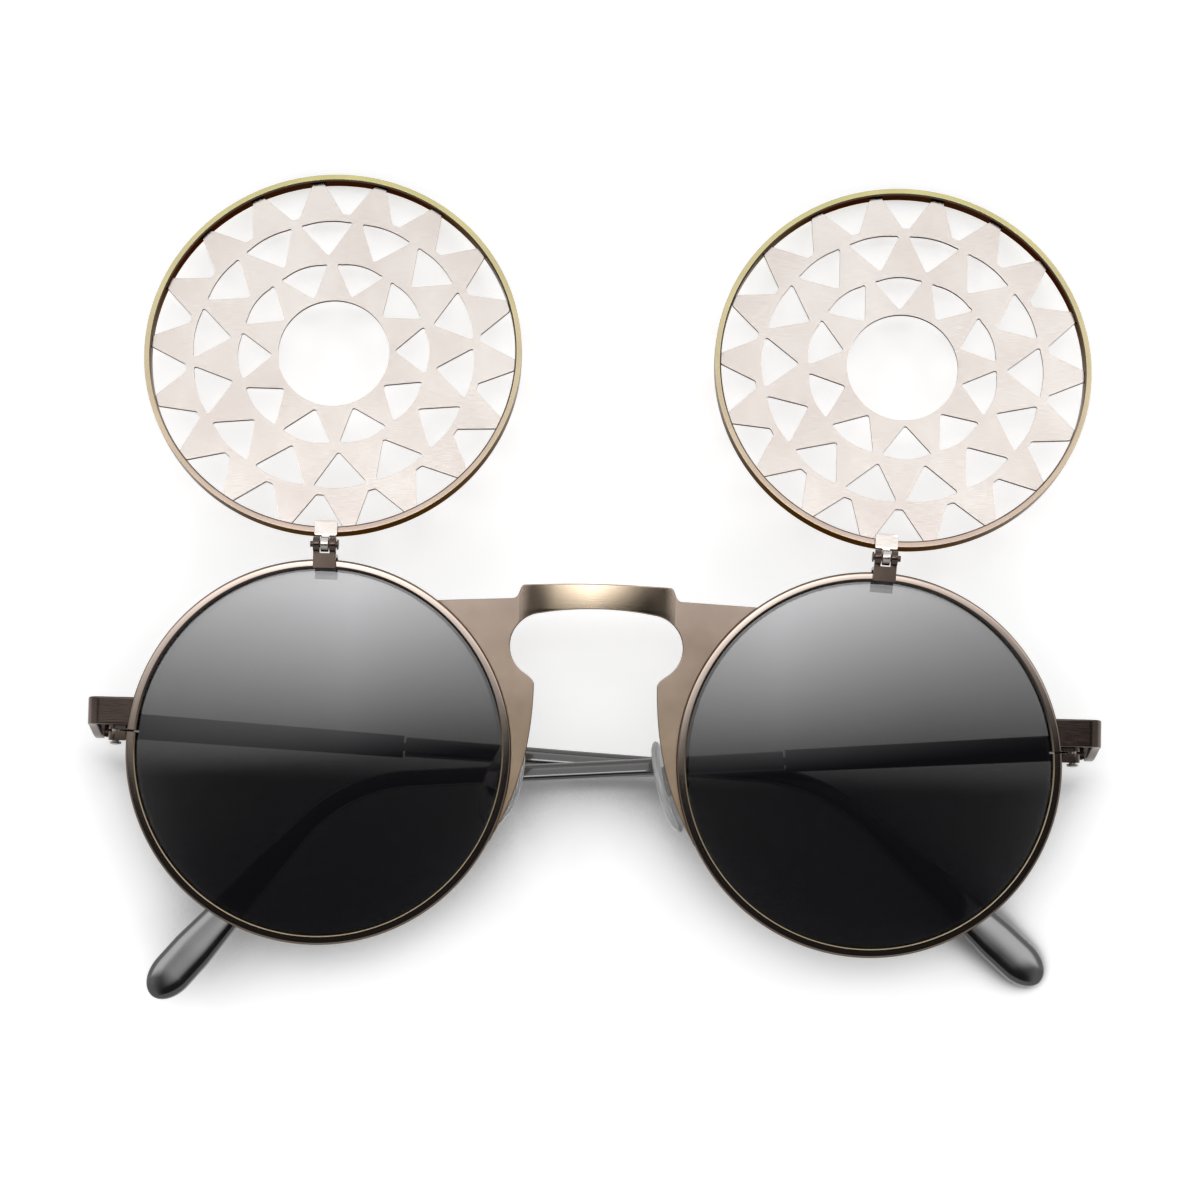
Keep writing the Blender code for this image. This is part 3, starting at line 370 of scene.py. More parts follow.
def revolve(profile, steps, side=1, start=0.0, sweep=tau):
    """Turn a profile of (radius, depth) points about the Y axis; it is given for an angle."""
    whole = isclose(sweep, tau)
    count = steps if whole else steps + 1
    sections = []
    for i in range(count):
        angle = start + sweep * i / steps
        sections.append([(side * r * cos(angle), y, r * sin(angle))
                         for r, y in profile(angle)])
    return loft(sections, closed=whole)


def plate(outline, holes, thickness, edge, place):
    """A cut plate with softly broken edges; place maps (u, v, w) to a point."""
    curve = bpy.data.curves.new("plate", "CURVE")
    curve.dimensions = "2D"
    curve.fill_mode = "BOTH"
    curve.extrude = thickness / 2 - edge
    curve.bevel_depth = edge
    curve.bevel_resolution = 2
    curve.offset = -edge
    for loop in [outline] + holes:
        spline = curve.splines.new("POLY")
        spline.points.add(len(loop) - 1)
        for point, (u, v) in zip(spline.points, loop):
            point.co = (u, v, 0, 1)
        spline.use_cyclic_u = True
    holder = in_scene("plate", curve)
    bpy.context.view_layer.update()
    graph = bpy.context.evaluated_depsgraph_get()
    mesh = bpy.data.meshes.new_from_object(holder.evaluated_get(graph))
    bpy.data.objects.remove(holder)
    bpy.data.curves.remove(curve)
    bm = bmesh.new()
    bm.from_mesh(mesh)
    bpy.data.meshes.remove(mesh)
    bmesh.ops.remove_doubles(bm, verts=bm.verts, dist=edge / 50)
    for vert in bm.verts:
        vert.co = Vector(place(*vert.co))
    return bm


def along_x(u, v, w):
    return w, u, v


def along_y(u, v, w):
    return u, w, v


def along_z(u, v, w):
    return u, v, w


def slab(outline, holes, low, high, edge, place):
    """A plate that lies between two levels of w."""
    middle = (low + high) / 2
    return plate(outline, holes, high - low, edge, lambda u, v, w: place(u, v, w + middle))


def mesh_of(name, bm):
    mesh = bpy.data.meshes.new(name)
    bm.to_mesh(mesh)
    bm.free()
    return mesh


def in_scene(name, data):
    item = bpy.data.objects.new(name, data)
    bpy.context.scene.collection.objects.link(item)
    return item


def merge(*parts):
    """Put several closed shells in one mesh."""
    whole = bmesh.new()
    for bm in parts:
        mesh = mesh_of("part", bm)
        whole.from_mesh(mesh)
        bpy.data.meshes.remove(mesh)
    return whole


def turned(profile, place, centre=(0, 0), steps=SMALL_STEPS):
    """Turn (radius, level) points, both ends on the axis, about a line along w."""
    bm = bmesh.new()
    loops = []
    for radius, level in profile:
        ring = circle(centre, radius, steps) if radius else [centre]
        loops.append([bm.verts.new(place(u, v, level)) for u, v in ring])
    for one, two in zip(loops, loops[1:]):
        for i in range(steps):
            j = (i + 1) % steps
            if len(one) == 1:
                bm.faces.new((one[0], two[j], two[i]))
            elif len(two) == 1:
                bm.faces.new((one[i], one[j], two[0]))
            else:
                bm.faces.new((one[i], one[j], two[j], two[i]))
    return bm


def rounded_section(origin, across, up, width, height, corner):
    flat = rounded(box_outline(-width / 2, width / 2, -height / 2, height / 2), corner)
    return [origin + across * u + up * v for u, v in flat]


def domed_section(origin, across, up, width, height):
    """A sleeve's full oval, slightly turned, whose inner side falls away towards its top."""
    points = []
    across, up = (across * cos(SLEEVE_TWIST) - up * sin(SLEEVE_TWIST),
                  across * sin(SLEEVE_TWIST) + up * cos(SLEEVE_TWIST))
    for i in range(SMALL_STEPS):
        angle = tau * i / SMALL_STEPS
        u, v = cos(angle), sin(angle)
        u = copysign(abs(u) ** (2 / DOME_POWER), u) * width / 2
        v = copysign(abs(v) ** (2 / DOME_POWER), v)
        if u < 0:
            u *= 1 - SLEEVE_WEDGE * (1 + v) / 2
        points.append(origin + across * u + up * v * height / 2)
    return points


def cut_across(bm, point, normal):
    """Split the faces along a plane, so that the shape can bend there."""
    bmesh.ops.bisect_plane(bm, geom=bm.verts[:] + bm.edges[:] + bm.faces[:],
                           dist=FINE_EDGE / 100, plane_co=point, plane_no=normal)


def smooth(share):
    share = max(0.0, min(1.0, share))
    return share * share * (3 - 2 * share)


def level_frame(matrix):
    """The frame with the same place and Y axis whose X axis runs along the world's."""
    up = matrix.to_3x3() @ Vector((0, 1, 0))
    across = (Vector((1, 0, 0)) - up * up.x).normalized()
    frame_axes = Matrix((across, up, across.cross(up))).transposed().to_4x4()
    return shift(matrix.translation) @ frame_axes


def add_piece(kind, node, side_name, bm, mat, matrix=FRONT, body="front", angle=30):
    """A visible piece that stands for a solid and moves with its body."""
    tag = "_" + side_name if side_name else ""
    name = kind + tag
    bmesh.ops.recalc_face_normals(bm, faces=bm.faces)
    if bm.calc_volume(signed=True) < 0:
        bmesh.ops.reverse_faces(bm, faces=bm.faces)
    mesh = mesh_of(name, bm)
    item = in_scene(name, mesh)
    mesh.materials.append(mat)
    mesh.shade_smooth()
    mesh.set_sharp_from_angle(angle=radians(angle))
    weighted = item.modifiers.new("even shading", "WEIGHTED_NORMAL")
    weighted.keep_sharp = True
    item.matrix_world = matrix
    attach(item, body if body == "front" else body + tag)
    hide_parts(node + tag)


def add_flat_piece(kind, node, side_name, bm, mat, matrix, body, angle=30):
    """A turned flat piece, with the turn in its mesh so that its box stays tight."""
    level = level_frame(matrix)
    bm.transform(level.inverted() @ matrix)
    add_piece(kind, node, side_name, bm, mat, level, body, angle)


# Finishes: colours, painted light and shade, the size of a grain or cloud, and where a tone
# changes

EVEN = (1, 1, 1)
FULL_TINT = (1.0, 1.0, 1.0)
# Painted shade on metals' side walls: a dimmed reflection tint and a dark wall colour
WALL_SHADE_TINT = (0.42, 0.355, 0.30)
PAINTED_EDGE_SHADE = (0.065, 0.049, 0.038)
WALL_TO_FACE = (0.35, 0.95)
BRUSH_SCALE = 9000
FINE_SCALE = 7000
CLOUD_SCALE = 160
LINE_SHARE = 0.3
LINE_SPREAD = (0.1, 1.2)
FINE_DEPTH = 0.0000006
WIRE_INNER = (-0.3, -0.7)
WIRE_OUTER = (0.25, 0.6)
# Height span over which the inner wall's painted light changes
WALL_LIGHT_CHANGE = (0.35, 0.65)
PATINA = 0.15
SATIN_LOW = ((0.30, 0.215, 0.13), (0.44, 0.325, 0.21))
SATIN_HIGH = ((0.385, 0.30, 0.25), (0.52, 0.415, 0.355))
# Painted shade on the bridge's side walls
SATIN_WALL_SHADE = (0.10, 0.075, 0.055)
SATIN_DEPTH = 0.000002
SATIN_ROUGHNESS = (0.30, 0.36)
# Painted highlight across the middle of the bowed strip and painted shade at its bends, and
# where that shade starts and ends
STRIP_HIGHLIGHT_SHADE = ((0.51, 0.41, 0.30), (0.29, 0.23, 0.17))
STRIP_SHADE_ENDS = (0.0055, 0.0085)
STRIP_POLISH = 0.21
# Lens see-through at the bottom, middle and top: partly a graded tint, partly painted light
LENS_DARK = 0.90
LENS_MIDDLE = 0.76
LENS_PALE = 0.50
BLACK_COLOURS = ((0.006, 0.006, 0.006), (0.010, 0.010, 0.011))


class Graph:
    """A short way to write the nodes and links of a tree."""

    def __init__(self, tree):
        self.tree = tree

    def put(self, node, key, value):
        if isinstance(value, bpy.types.NodeSocket):
            self.tree.links.new(value, node.inputs[key])
        else:
            node.inputs[key].default_value = value

    def add(self, kind, inputs=None, **settings):
        node = self.tree.nodes.new("ShaderNode" + kind)
        for key, value in settings.items():
            setattr(node, key, value)
        for key, value in (inputs or {}).items():
            self.put(node, key, value)
        return node

    def math(self, operation, one, two=0.0):
        return self.add("Math", {0: one, 1: two}, operation=operation).outputs[0]

    def ramp(self, value, start, end, low=0.0, high=1.0, kind="SMOOTHSTEP"):
        node = self.add("MapRange", {"Value": value, "From Min": start, "From Max": end,
                                     "To Min": low, "To Max": high}, interpolation_type=kind)
        return node.outputs["Result"]

    def parts(self, output):
        """The X, Y and Z of one of the texture coordinates."""
        coord = self.add("TexCoord")
        return self.add("SeparateXYZ", {0: coord.outputs[output]}).outputs

    def seen(self):
        """1 for rays from the camera, from gloss and through glass, else 0."""
        path = self.add("LightPath").outputs
        either = self.math("MAXIMUM", path["Is Glossy Ray"], path["Is Transmission Ray"])
        return self.math("MAXIMUM", path["Is Camera Ray"], either)


class Nodes(Graph):
    """The nodes of a material."""

    def __init__(self, name):
        self.mat = bpy.data.materials.new(name)
        self.mat.use_nodes = True
        super().__init__(self.mat.node_tree)
        self.shader = self.tree.nodes["Principled BSDF"]

    def set(self, **values):
        for key, value in values.items():
            self.put(self.shader, key.replace("_", " "), value)

    def grain(self, scale, detail, stretch=EVEN, low=0.3, high=0.7):
        """Noise in the piece's own coordinates, spread over 0 to 1."""
        coord = self.add("TexCoord")
        mapping = self.add("Mapping", {"Vector": coord.outputs["Object"], "Scale": stretch})
        noise = self.add("TexNoise", {"Vector": mapping.outputs["Vector"], "Scale": scale,
                                      "Detail": detail})
        return self.span(noise.outputs["Fac"], 0.0, 1.0, low, high)

    def mix(self, share, one, two):
        node = self.add("Mix", data_type="RGBA")
        self.put(node, "Factor", share)
        for key, colour in ((6, one), (7, two)):
            self.put(node, key, (*colour, 1) if isinstance(colour, tuple) else colour)
        return node.outputs[2]

    def span(self, value, low, high, start=0.0, end=1.0):
        return self.ramp(value, start, end, low, high, "LINEAR")

    def bump(self, height, depth):
        node = self.add("Bump", {"Height": height, "Distance": depth, "Strength": 1.0})
        self.put(self.shader, "Normal", node.outputs["Normal"])


def edge_share(n):
    """0 on the flat face of a plate or ring (square to its own Y), 1 on its side walls."""
    return n.span(n.math("ABSOLUTE", n.parts("Normal")[1]), 1.0, 0.0, *WALL_TO_FACE)


def height_share(n, low, high):
    """0 to 1 between two levels of the piece's own Z."""
    return n.span(n.parts("Object")[2], 0.0, 1.0, low, high)


def paint_wall_shade(n, wall):
    """Painted shade: dim the pale grazing reflection on a metal's side walls."""
    n.set(Specular_Tint=n.mix(wall, FULL_TINT, WALL_SHADE_TINT))


def brushed_metal(name, dark, light, roughness, stretch, depth, edge=None):
    """Metal with fine brush lines: colour, roughness and relief follow the same streaks; given a
    wall colour, its side walls get painted shade.
    """
    n = Nodes(name)
    lines = n.grain(BRUSH_SCALE, 3.0, stretch)
    tone = n.math("ADD", n.math("MULTIPLY", lines, LINE_SHARE), n.grain(70, 2.0))
    colour = n.mix(n.span(tone, 0, 1, *LINE_SPREAD), dark, light)
    # Painted shade on the side walls
    if edge:
        wall = edge_share(n)
        colour = n.mix(wall, colour, edge)
        paint_wall_shade(n, wall)
    n.set(Base_Color=colour, Metallic=1.0)
    n.set(Roughness=n.span(lines, roughness - 0.03, roughness + 0.04))
    n.bump(lines, depth)
    return n.mat


def plating(n, colour, roughness):
    """Smooth plated metal with a very fine grain in its gloss and relief."""
    fine = n.grain(FINE_SCALE, 2.0)
    n.set(Base_Color=colour, Metallic=1.0)
    n.set(Roughness=n.span(fine, roughness - 0.02, roughness + 0.03))
    n.bump(fine, FINE_DEPTH)
    return n.mat


def plated_metal(name, dark, light, roughness):
    """Plated metal with a faint cloud in its tone."""
    n = Nodes(name)
    return plating(n, n.mix(n.grain(CLOUD_SCALE, 3.0), dark, light), roughness)


def wire_metal(name, low, high, painted_inner_low, painted_inner_high, outer, roughness):
    """A round wire: its face changes colour from low to high as painted light; its inner wall
    carries painted highlight and shade that change with height, and its outer wall painted
    shade.
    """
    n = Nodes(name)
    level = height_share(n, -RIM_RADIUS, RIM_RADIUS)
    coord = n.add("TexCoord").outputs
    facing = n.add("VectorMath", {0: coord["Normal"], 1: coord["Object"]},
                   operation="DOT_PRODUCT").outputs["Value"]
    inward, outward = (n.span(facing, 0.0, 1.0, *(RIM_RADIUS * share for share in shares))
                       for shares in (WIRE_INNER, WIRE_OUTER))
    cloud = n.span(n.grain(CLOUD_SCALE, 3.0), 0.0, PATINA)
    # Painted light: the face goes from its low-side colour to its high-side colour
    face = n.mix(cloud, n.mix(level, low, high), outer)
    # Painted highlight and shade on the inner wall, changing with height
    walls = n.mix(n.span(level, 0.0, 1.0, *WALL_LIGHT_CHANGE), painted_inner_low, painted_inner_high)
    paint_wall_shade(n, n.math("MAXIMUM", inward, outward))
    # Painted shade: the outer wall takes its own dark colour
    return plating(n, n.mix(outward, n.mix(inward, face, walls), outer), roughness)


def satin_plate(name):
    """The bridge's satin bronze: darker and more golden towards the nose; where it bows it is
    glossier, with a painted highlight across its middle and painted shade at its bends.
    """
    n = Nodes(name)
    fine = n.grain(12000, 2.0, (0.5, 1, 1))
    cloud = n.grain(110, 3.0)
    across, depth, _ = n.parts("Object")
    face = -PLATE_THICKNESS / 2
    bowed = n.span(depth, 0.0, 1.0, face - FINE_EDGE, face - SADDLE_BOW / 4)
    level = height_share(n, PLATE_TIP_HEIGHT, SADDLE_TOP)
    plain = n.mix(level, n.mix(cloud, *SATIN_LOW), n.mix(cloud, *SATIN_HIGH))
    # Painted shade at the bowed strip's bends, painted highlight across its middle
    ends = n.span(n.math("ABSOLUTE", across), 0.0, 1.0, *STRIP_SHADE_ENDS)
    colour = n.mix(bowed, plain, n.mix(ends, *STRIP_HIGHLIGHT_SHADE))
    # Painted shade on the side walls
    wall = edge_share(n)
    paint_wall_shade(n, wall)
    n.set(Base_Color=n.mix(wall, colour, SATIN_WALL_SHADE), Metallic=1.0)
    n.set(Roughness=n.math("SUBTRACT", n.span(fine, *SATIN_ROUGHNESS),
                           n.span(bowed, 0.0, STRIP_POLISH)))
    n.bump(fine, SATIN_DEPTH)
    return n.mat


def lens_glass(name):
    """Smoke tint that lets more light through at the top than at the bottom: partly a graded
    tint, partly painted light for the lighter top that reflection gives.
    """
    n = Nodes(name)
    level = height_share(n, -RIM_INNER, RIM_INNER)
    n.set(Base_Color=(0.004, 0.0035, 0.005, 1), IOR=1.7, Specular_Tint=(0.96, 0.95, 1.0, 1),
          Coat_Weight=1.0, Coat_Roughness=0.02, Coat_IOR=1.7)
    n.set(Alpha=n.math("SUBTRACT", n.span(level, LENS_DARK, LENS_MIDDLE, 0.0, 0.5),
                       n.span(level, 0.0, LENS_MIDDLE - LENS_PALE, 0.5, 1.0)))
    n.set(Roughness=n.span(n.grain(2500, 1.0, EVEN, 0.55, 0.9), 0.03, 0.06))
    return n.mat


def polished_plastic(name):
    n = Nodes(name)
    cloud = n.grain(300, 2.0)
    n.set(Base_Color=n.mix(cloud, *BLACK_COLOURS), IOR=1.7, Coat_Weight=1.0,
          Coat_Roughness=0.06, Coat_IOR=1.8)
    n.set(Roughness=n.span(cloud, 0.14, 0.20))
    n.bump(n.grain(500, 1.0), 0.000002)
    return n.mat


def clear_plastic(name):
    n = Nodes(name)
    ripple = n.grain(900, 2.0)
    n.set(Base_Color=(0.97, 0.98, 0.99, 1), Transmission_Weight=0.72, IOR=1.42,
          Coat_Weight=1.0, Coat_Roughness=0.03)
    n.set(Roughness=n.span(ripple, 0.04, 0.10))
    n.bump(ripple, 0.000006)
    return n.mat


SATIN = satin_plate("satin_bronze")
# Eye wire: the gold inner wall low down is a painted highlight; the near-black inner wall higher
# up and the dark outer wall are painted shade.
RIM_METAL = wire_metal("rim_bronze", (0.46, 0.38, 0.33), (0.43, 0.355, 0.31), (0.52, 0.40, 0.22),
                       (0.03, 0.025, 0.022), (0.16, 0.12, 0.095), 0.08)
STRAP_METAL = brushed_metal("strap_bronze", (0.075, 0.056, 0.047), (0.155, 0.118, 0.10), 0.18,
                            (0.06, 1, 1), 0.0000015)
DARK_BRONZE = plated_metal("dark_bronze", (0.08, 0.06, 0.05), (0.15, 0.115, 0.095), 0.20)
# Champagne: its side walls are painted dark, a painted shade.
CHAMPAGNE = brushed_metal("champagne_metal", (0.80, 0.715, 0.67), (0.92, 0.86, 0.81), 0.22,
                          (0.08, 1, 1), 0.0000012, PAINTED_EDGE_SHADE)
# Cover ring: its face goes from gold on its low side to pink on its high side as painted light;
# its dark walls are painted shade.
RING_METAL = wire_metal("ring_gold", (0.84, 0.76, 0.36), (0.78, 0.61, 0.52),
                        (0.055, 0.038, 0.040), (0.20, 0.15, 0.13), PAINTED_EDGE_SHADE, 0.15)
STEEL = plated_metal("screw_steel", (0.34, 0.32, 0.30), (0.46, 0.44, 0.42), 0.25)
SMOKE = lens_glass("smoke_lens")
BLACK = polished_plastic("black_acetate")
CLEAR = clear_plastic("clear_silicone")


# Front

def make_rim(name, side):
    """The eye wire with soft edges, a lens groove and the slit under the end piece."""
    half = RIM_DEPTH / 2
    mouth = half - GROOVE_LIP

    def profile(angle):
        lip = RIM_LIP_LOW + (RIM_LIP_HIGH - RIM_LIP_LOW) * smooth(sin(angle) + LIP_SHIFT)
        corners = [
            (RIM_INNER, lip - half, FINE_EDGE), (RIM_INNER + lip, -half, FINE_EDGE),
            (RIM_RADIUS, RIM_CROWN - half, RIM_SOFT_EDGE),
            (RIM_RADIUS, half, RIM_SOFT_EDGE), (RIM_INNER, half, FINE_EDGE * 2),
            (RIM_INNER, mouth, FINE_EDGE), (RIM_INNER + GROOVE_DEPTH, 0, 0),
            (RIM_INNER, -mouth, FINE_EDGE),
        ]
        return rounded([c[:2] for c in corners], [c[2] for c in corners])

    middle = asin(SLIT_LEVEL / RIM_RADIUS)
    half_slit = SLIT / RIM_RADIUS / 2
    bm = revolve(profile, ROUND_STEPS, side, middle + half_slit, tau - 2 * half_slit)
    place = FRONT @ shift((side * LENS_OFFSET, 0, 0))
    add_piece("eye_wire", "rim", name, bm, RIM_METAL, place)


def make_lens(name, side):
    peak = RIM_INNER + GROOVE_DEPTH - GAP
    half = LENS_THICKNESS / 2
    slope = GROOVE_DEPTH / (RIM_DEPTH / 2 - GROOVE_LIP)
    face = peak - slope * half

    def depth(radius):
        return sqrt(LENS_CURVE ** 2 - face ** 2) - sqrt(LENS_CURVE ** 2 - radius ** 2)

    radii = [face * i / LENS_RINGS for i in range(LENS_RINGS + 1)]
    front = [(r, depth(r) - half) for r in radii]
    back = [(r, depth(r) + half) for r in reversed(radii)]
    bm = turned(front + [(peak, 0)] + back, along_y, steps=ROUND_STEPS)
    bm.transform(spin(-TABLE_TILT, "X"))
    place = FRONT @ shift((side * LENS_OFFSET, 0, 0)) @ spin(TABLE_TILT, "X")
    add_piece("smoke_lens", "lens", name, bm, SMOKE, place)


def bridge_outline():
    """Right half of the plate's outline, from the top middle round to the arch's middle."""
    reach = RIM_RADIUS - FINE_EDGE
    centre = (LENS_OFFSET, 0)
    wing = pi - asin(WING_TOP / reach)
    tip = pi - asin(PLATE_TIP_HEIGHT / reach)
    points = []
    for i in range(ARCH_STEPS):
        share = i / ARCH_STEPS
        points.append((SADDLE_HALF * share, SADDLE_TOP + SADDLE_CROWN * (1 - share ** 2)))
    crest = SADDLE_HALF + SADDLE_STEP
    between = ((SADDLE_HALF + crest) / 2, (SADDLE_TOP + WING_CREST) / 2)
    points += bezier((SADDLE_HALF - SADDLE_STEP / 2, SADDLE_TOP), (SADDLE_HALF, SADDLE_TOP),
                     between, STEP_STEPS)
    points += bezier(between, (crest, WING_CREST), (crest + SADDLE_STEP, WING_CREST),
                     STEP_STEPS)[1:]
    points += arc(centre, reach, wing, tip, WING_STEPS)
    flank_top = (SHOULDER_OFFSET, SHOULDER_HEIGHT - SHOULDER_ROUND)
    points += bezier(points[-1], (FLANK_OFFSET, FLANK_HEIGHT), flank_top, FLANK_STEPS)[1:]
    lobe = (LOBE_OFFSET, LOBE_HEIGHT)
    low = arc(lobe, LOBE_RADIUS, *LOBE_ARC, LOBE_STEPS)
    points += bezier(flank_top, (SHOULDER_OFFSET, SHOULDER_HEIGHT), low[0], SHOULDER_STEPS)[1:-1]
    points += low
    edge = low[-1]
    for i in range(1, ARCH_STEPS + 1):
        share = 1 - i / ARCH_STEPS
        points.append((edge[0] * share, ARCH_TOP + (edge[1] - ARCH_TOP) * share ** 2))
    return points


def make_bridge():
    right = bridge_outline()
    left = [(-x, z) for x, z in reversed(right[1:-1])]
    bm = plate(right + left, [], PLATE_THICKNESS, FINE_EDGE * 2, along_y)
    columns = round(2 * CREASE_OFFSET / BEND_STEP)
    for i in range(columns + 1):
        cut_across(bm, (CREASE_OFFSET * (2 * i / columns - 1), 0, 0), (1, 0, 0))
    rows = round((SADDLE_TOP - LOBE_HEIGHT) / BEND_STEP)
    for i in range(rows):
        cut_across(bm, (0, 0, LOBE_HEIGHT + i * BEND_STEP), (0, 0, 1))
    for vert in bm.verts:
        over = max(0, 1 - (vert.co.x / CREASE_OFFSET) ** 2)
        up = smooth((vert.co.z - LOBE_HEIGHT) / (ARCH_TOP - LOBE_HEIGHT))
        roll = max(0, (vert.co.z - ARCH_TOP) / (SADDLE_TOP - ARCH_TOP))
        vert.co.y -= (SADDLE_BOW * up - SADDLE_ROLL * roll ** 2) * over
    add_piece("bridge", "bridge_plate", "", bm, SATIN, angle=PLATE_ANGLE)


def make_end_piece(name, side):
    middle = STRAP_THICKNESS / 2 - STRAP_FACE
    outer = HINGE_OFFSET + BAR_OFFSET
    rear = HINGE_DEPTH - BAR_BUTT - GAP
    bend = (outer - STRAP_BEND, middle + STRAP_BEND)
    start = LENS_OFFSET + RIM_RADIUS
    path = [(start, middle), (start + RIM_WALL, middle)]
    path += arc(bend, STRAP_BEND, -pi / 2, 0, STRAP_STEPS)
    path += [(outer, middle + STRAP_BEND + (rear - middle - STRAP_BEND) * i / STRAP_STEPS)
             for i in range(1, STRAP_STEPS + 1)]
    up = Vector((0, 0, 1))
    reach = RIM_RADIUS - FINE_EDGE
    sections = []
    for i, (x, y) in enumerate(path):
        ahead = Vector(path[min(i + 1, len(path) - 1)])
        behind = Vector(path[max(i - 1, 0)])
        run = Vector((1, 0)) if i < 2 else (ahead - behind).normalized()
        across = Vector((side * run.y, -run.x, 0))
        share = smooth((y - middle) / (rear - middle))
        level = STRAP_LEVEL + (HINGE_LEVEL - STRAP_LEVEL) * share
        origin = Vector((side * x, y, level))
        section = rounded_section(origin, across, up, STRAP_THICKNESS, STRAP_HEIGHT, SOFT_EDGE)
        if i == 0:
            for point in section:
                point.x = side * (LENS_OFFSET + sqrt(reach ** 2 - point.z ** 2))
        sections.append(section)
    add_piece("strap", "end_piece", name, loft(sections), STRAP_METAL)


def screw(shank, head, tip, neck, top, place, centre=(0, 0)):
    """A shank with a domed head."""
    rise = (top - neck) / 2
    profile = [(0, tip), (shank, tip), (shank, neck), (head, neck), (head, neck + rise)]
    profile += [(head * cos(radians(a)), neck + rise + rise * sin(radians(a)))
                for a in range(15, 90, 15)]
    profile.append((0, top))
    return turned(profile, place, centre)


def make_closing(name, side):
    inner = LENS_OFFSET + RIM_RADIUS + GAP
    front = STRAP_THICKNESS - STRAP_FACE + GAP
    middle = front + BLOCK_WIDTH / 2
    round_end = BLOCK_WIDTH / 2
    eye = inner + BLOCK_LENGTH - round_end
    outline = [(inner, front), (inner, front + BLOCK_WIDTH)]
    outline += arc((eye, middle), round_end, pi / 2, -pi / 2, SMALL_STEPS // 2)
    outline = [(side * x, y) for x, y in outline]
    centre = (side * eye, middle)
    bore = circle(centre, BLOCK_SCREW_RADIUS + RUNNING_GAP, SMALL_STEPS)
    low = SLIT_LEVEL - SLIT / 2
    high = SLIT_LEVEL + SLIT / 2
    for half, bottom, top in (("upper", high, high + UPPER_BLOCK_HEIGHT),
                              ("lower", low - LOWER_BLOCK_HEIGHT, low)):
        bm = slab(outline, [bore], bottom, top, FINE_EDGE, along_z)
        add_piece("clamp_" + half, "closing_block_" + half, name, bm, DARK_BRONZE)
    neck = low - LOWER_BLOCK_HEIGHT - RUNNING_GAP
    bm = screw(BLOCK_SCREW_RADIUS, BLOCK_HEAD_RADIUS, high + UPPER_BLOCK_HEIGHT, neck,
               neck - BLOCK_HEAD_HEIGHT, along_z, centre)
    add_piece("clamp_screw", "closing_screw", name, bm, STEEL)


# Temples

def hinge_outline(side, direction, foot_length):
    outer = BAR_OFFSET - BAR_THICKNESS / 2 - GAP
    inner = FOOT_INSET
    first = acos(outer / KNUCKLE_RADIUS)
    last = acos(inner / KNUCKLE_RADIUS) - tau
    points = arc((0, 0), KNUCKLE_RADIUS, first, last, SMALL_STEPS)
    points += [(inner, foot_length), (outer, foot_length)]
    return [(side * x, direction * y) for x, y in points]


def make_temple_hinge(name, side):
    bore = circle((0, 0), HINGE_SCREW_RADIUS + RUNNING_GAP, SMALL_STEPS)
    half = KNUCKLE_HEIGHT / 2
    slot = MIDDLE_KNUCKLE_HEIGHT / 2 + RUNNING_GAP
    outer = BAR_OFFSET - BAR_THICKNESS / 2 - GAP
    outline = hinge_outline(side, -1, FRONT_FOOT_LENGTH)
    top = -KNUCKLE_RADIUS - GAP
    foot = [(side * FOOT_INSET, top), (side * FOOT_INSET, -FRONT_FOOT_LENGTH),
            (side * outer, -FRONT_FOOT_LENGTH), (side * outer, top)]
    bm = merge(slab(outline, [bore], slot, half, FINE_EDGE, along_z),
               slab(outline, [bore], -half, -slot, FINE_EDGE, along_z),
               slab(foot, [], -slot, slot, FINE_EDGE / 4, along_z))
    axis = temple_axis(name, side)
    add_piece("hinge_knuckles", "temple_hinge_front", name, bm, DARK_BRONZE, axis)
    middle = MIDDLE_KNUCKLE_HEIGHT / 2
    bm = slab(hinge_outline(side, 1, REAR_FOOT_LENGTH), [bore], -middle, middle,
              FINE_EDGE, along_z)
    add_piece("hinge_tongue", "temple_hinge_rear", name, bm, DARK_BRONZE,
              temple_swing(name, side), "temple")
    neck = half + RUNNING_GAP
    bm = screw(HINGE_SCREW_RADIUS, HINGE_HEAD_RADIUS, -half, neck, neck + HINGE_HEAD_HEIGHT,
               along_z)
    add_piece("hinge_screw", "temple_hinge_screw", name, bm, STEEL, axis)


def make_temple_bar(name, side):
    across = Vector((side, 0, 0))
    up = Vector((0, 0, 1))

    def section(along, width, height, corner):
        origin = Vector((side * BAR_OFFSET, along, 0))
        return rounded_section(origin, across, up, width, height, corner)

    core = 2 * CORE_RADIUS
    soft = CORE_RADIUS / 2
    edge = SOFT_EDGE
    sections = []
    rounds = 5
    for i in range(rounds + 1):
        angle = pi / 2 * i / rounds
        inset = edge * (1 - sin(angle))
        sections.append(section(-BAR_BUTT + edge * (1 - cos(angle)),
                                BAR_THICKNESS - 2 * inset, BAR_HEIGHT - 2 * inset, edge))
    sections.append(section(BAR_LENGTH, BAR_THICKNESS, BAR_END_HEIGHT, edge))
    sections.append(section(BAR_LENGTH, core, core, soft))
    sections.append(section(BAR_LENGTH + CORE_LENGTH, core, core, soft))
    add_piece("side_bar", "temple_bar", name, loft(sections), STRAP_METAL,
              temple_swing(name, side), "temple")


def temple_path(name, along):
    """Point and direction at a distance along the temple, which bends down at its end."""
    bend = TIP_BEND[name]
    start = BEND_START[name]
    radius = BEND_RADIUS[name]
    past = min(max(along - start, 0), radius * bend)
    angle = past / radius
    straight = min(along, start)
    after = max(along - start - radius * bend, 0)
    y = straight + radius * sin(angle) + after * cos(bend)
    z = -radius * (1 - cos(angle)) - after * sin(bend)
    return y, z, angle


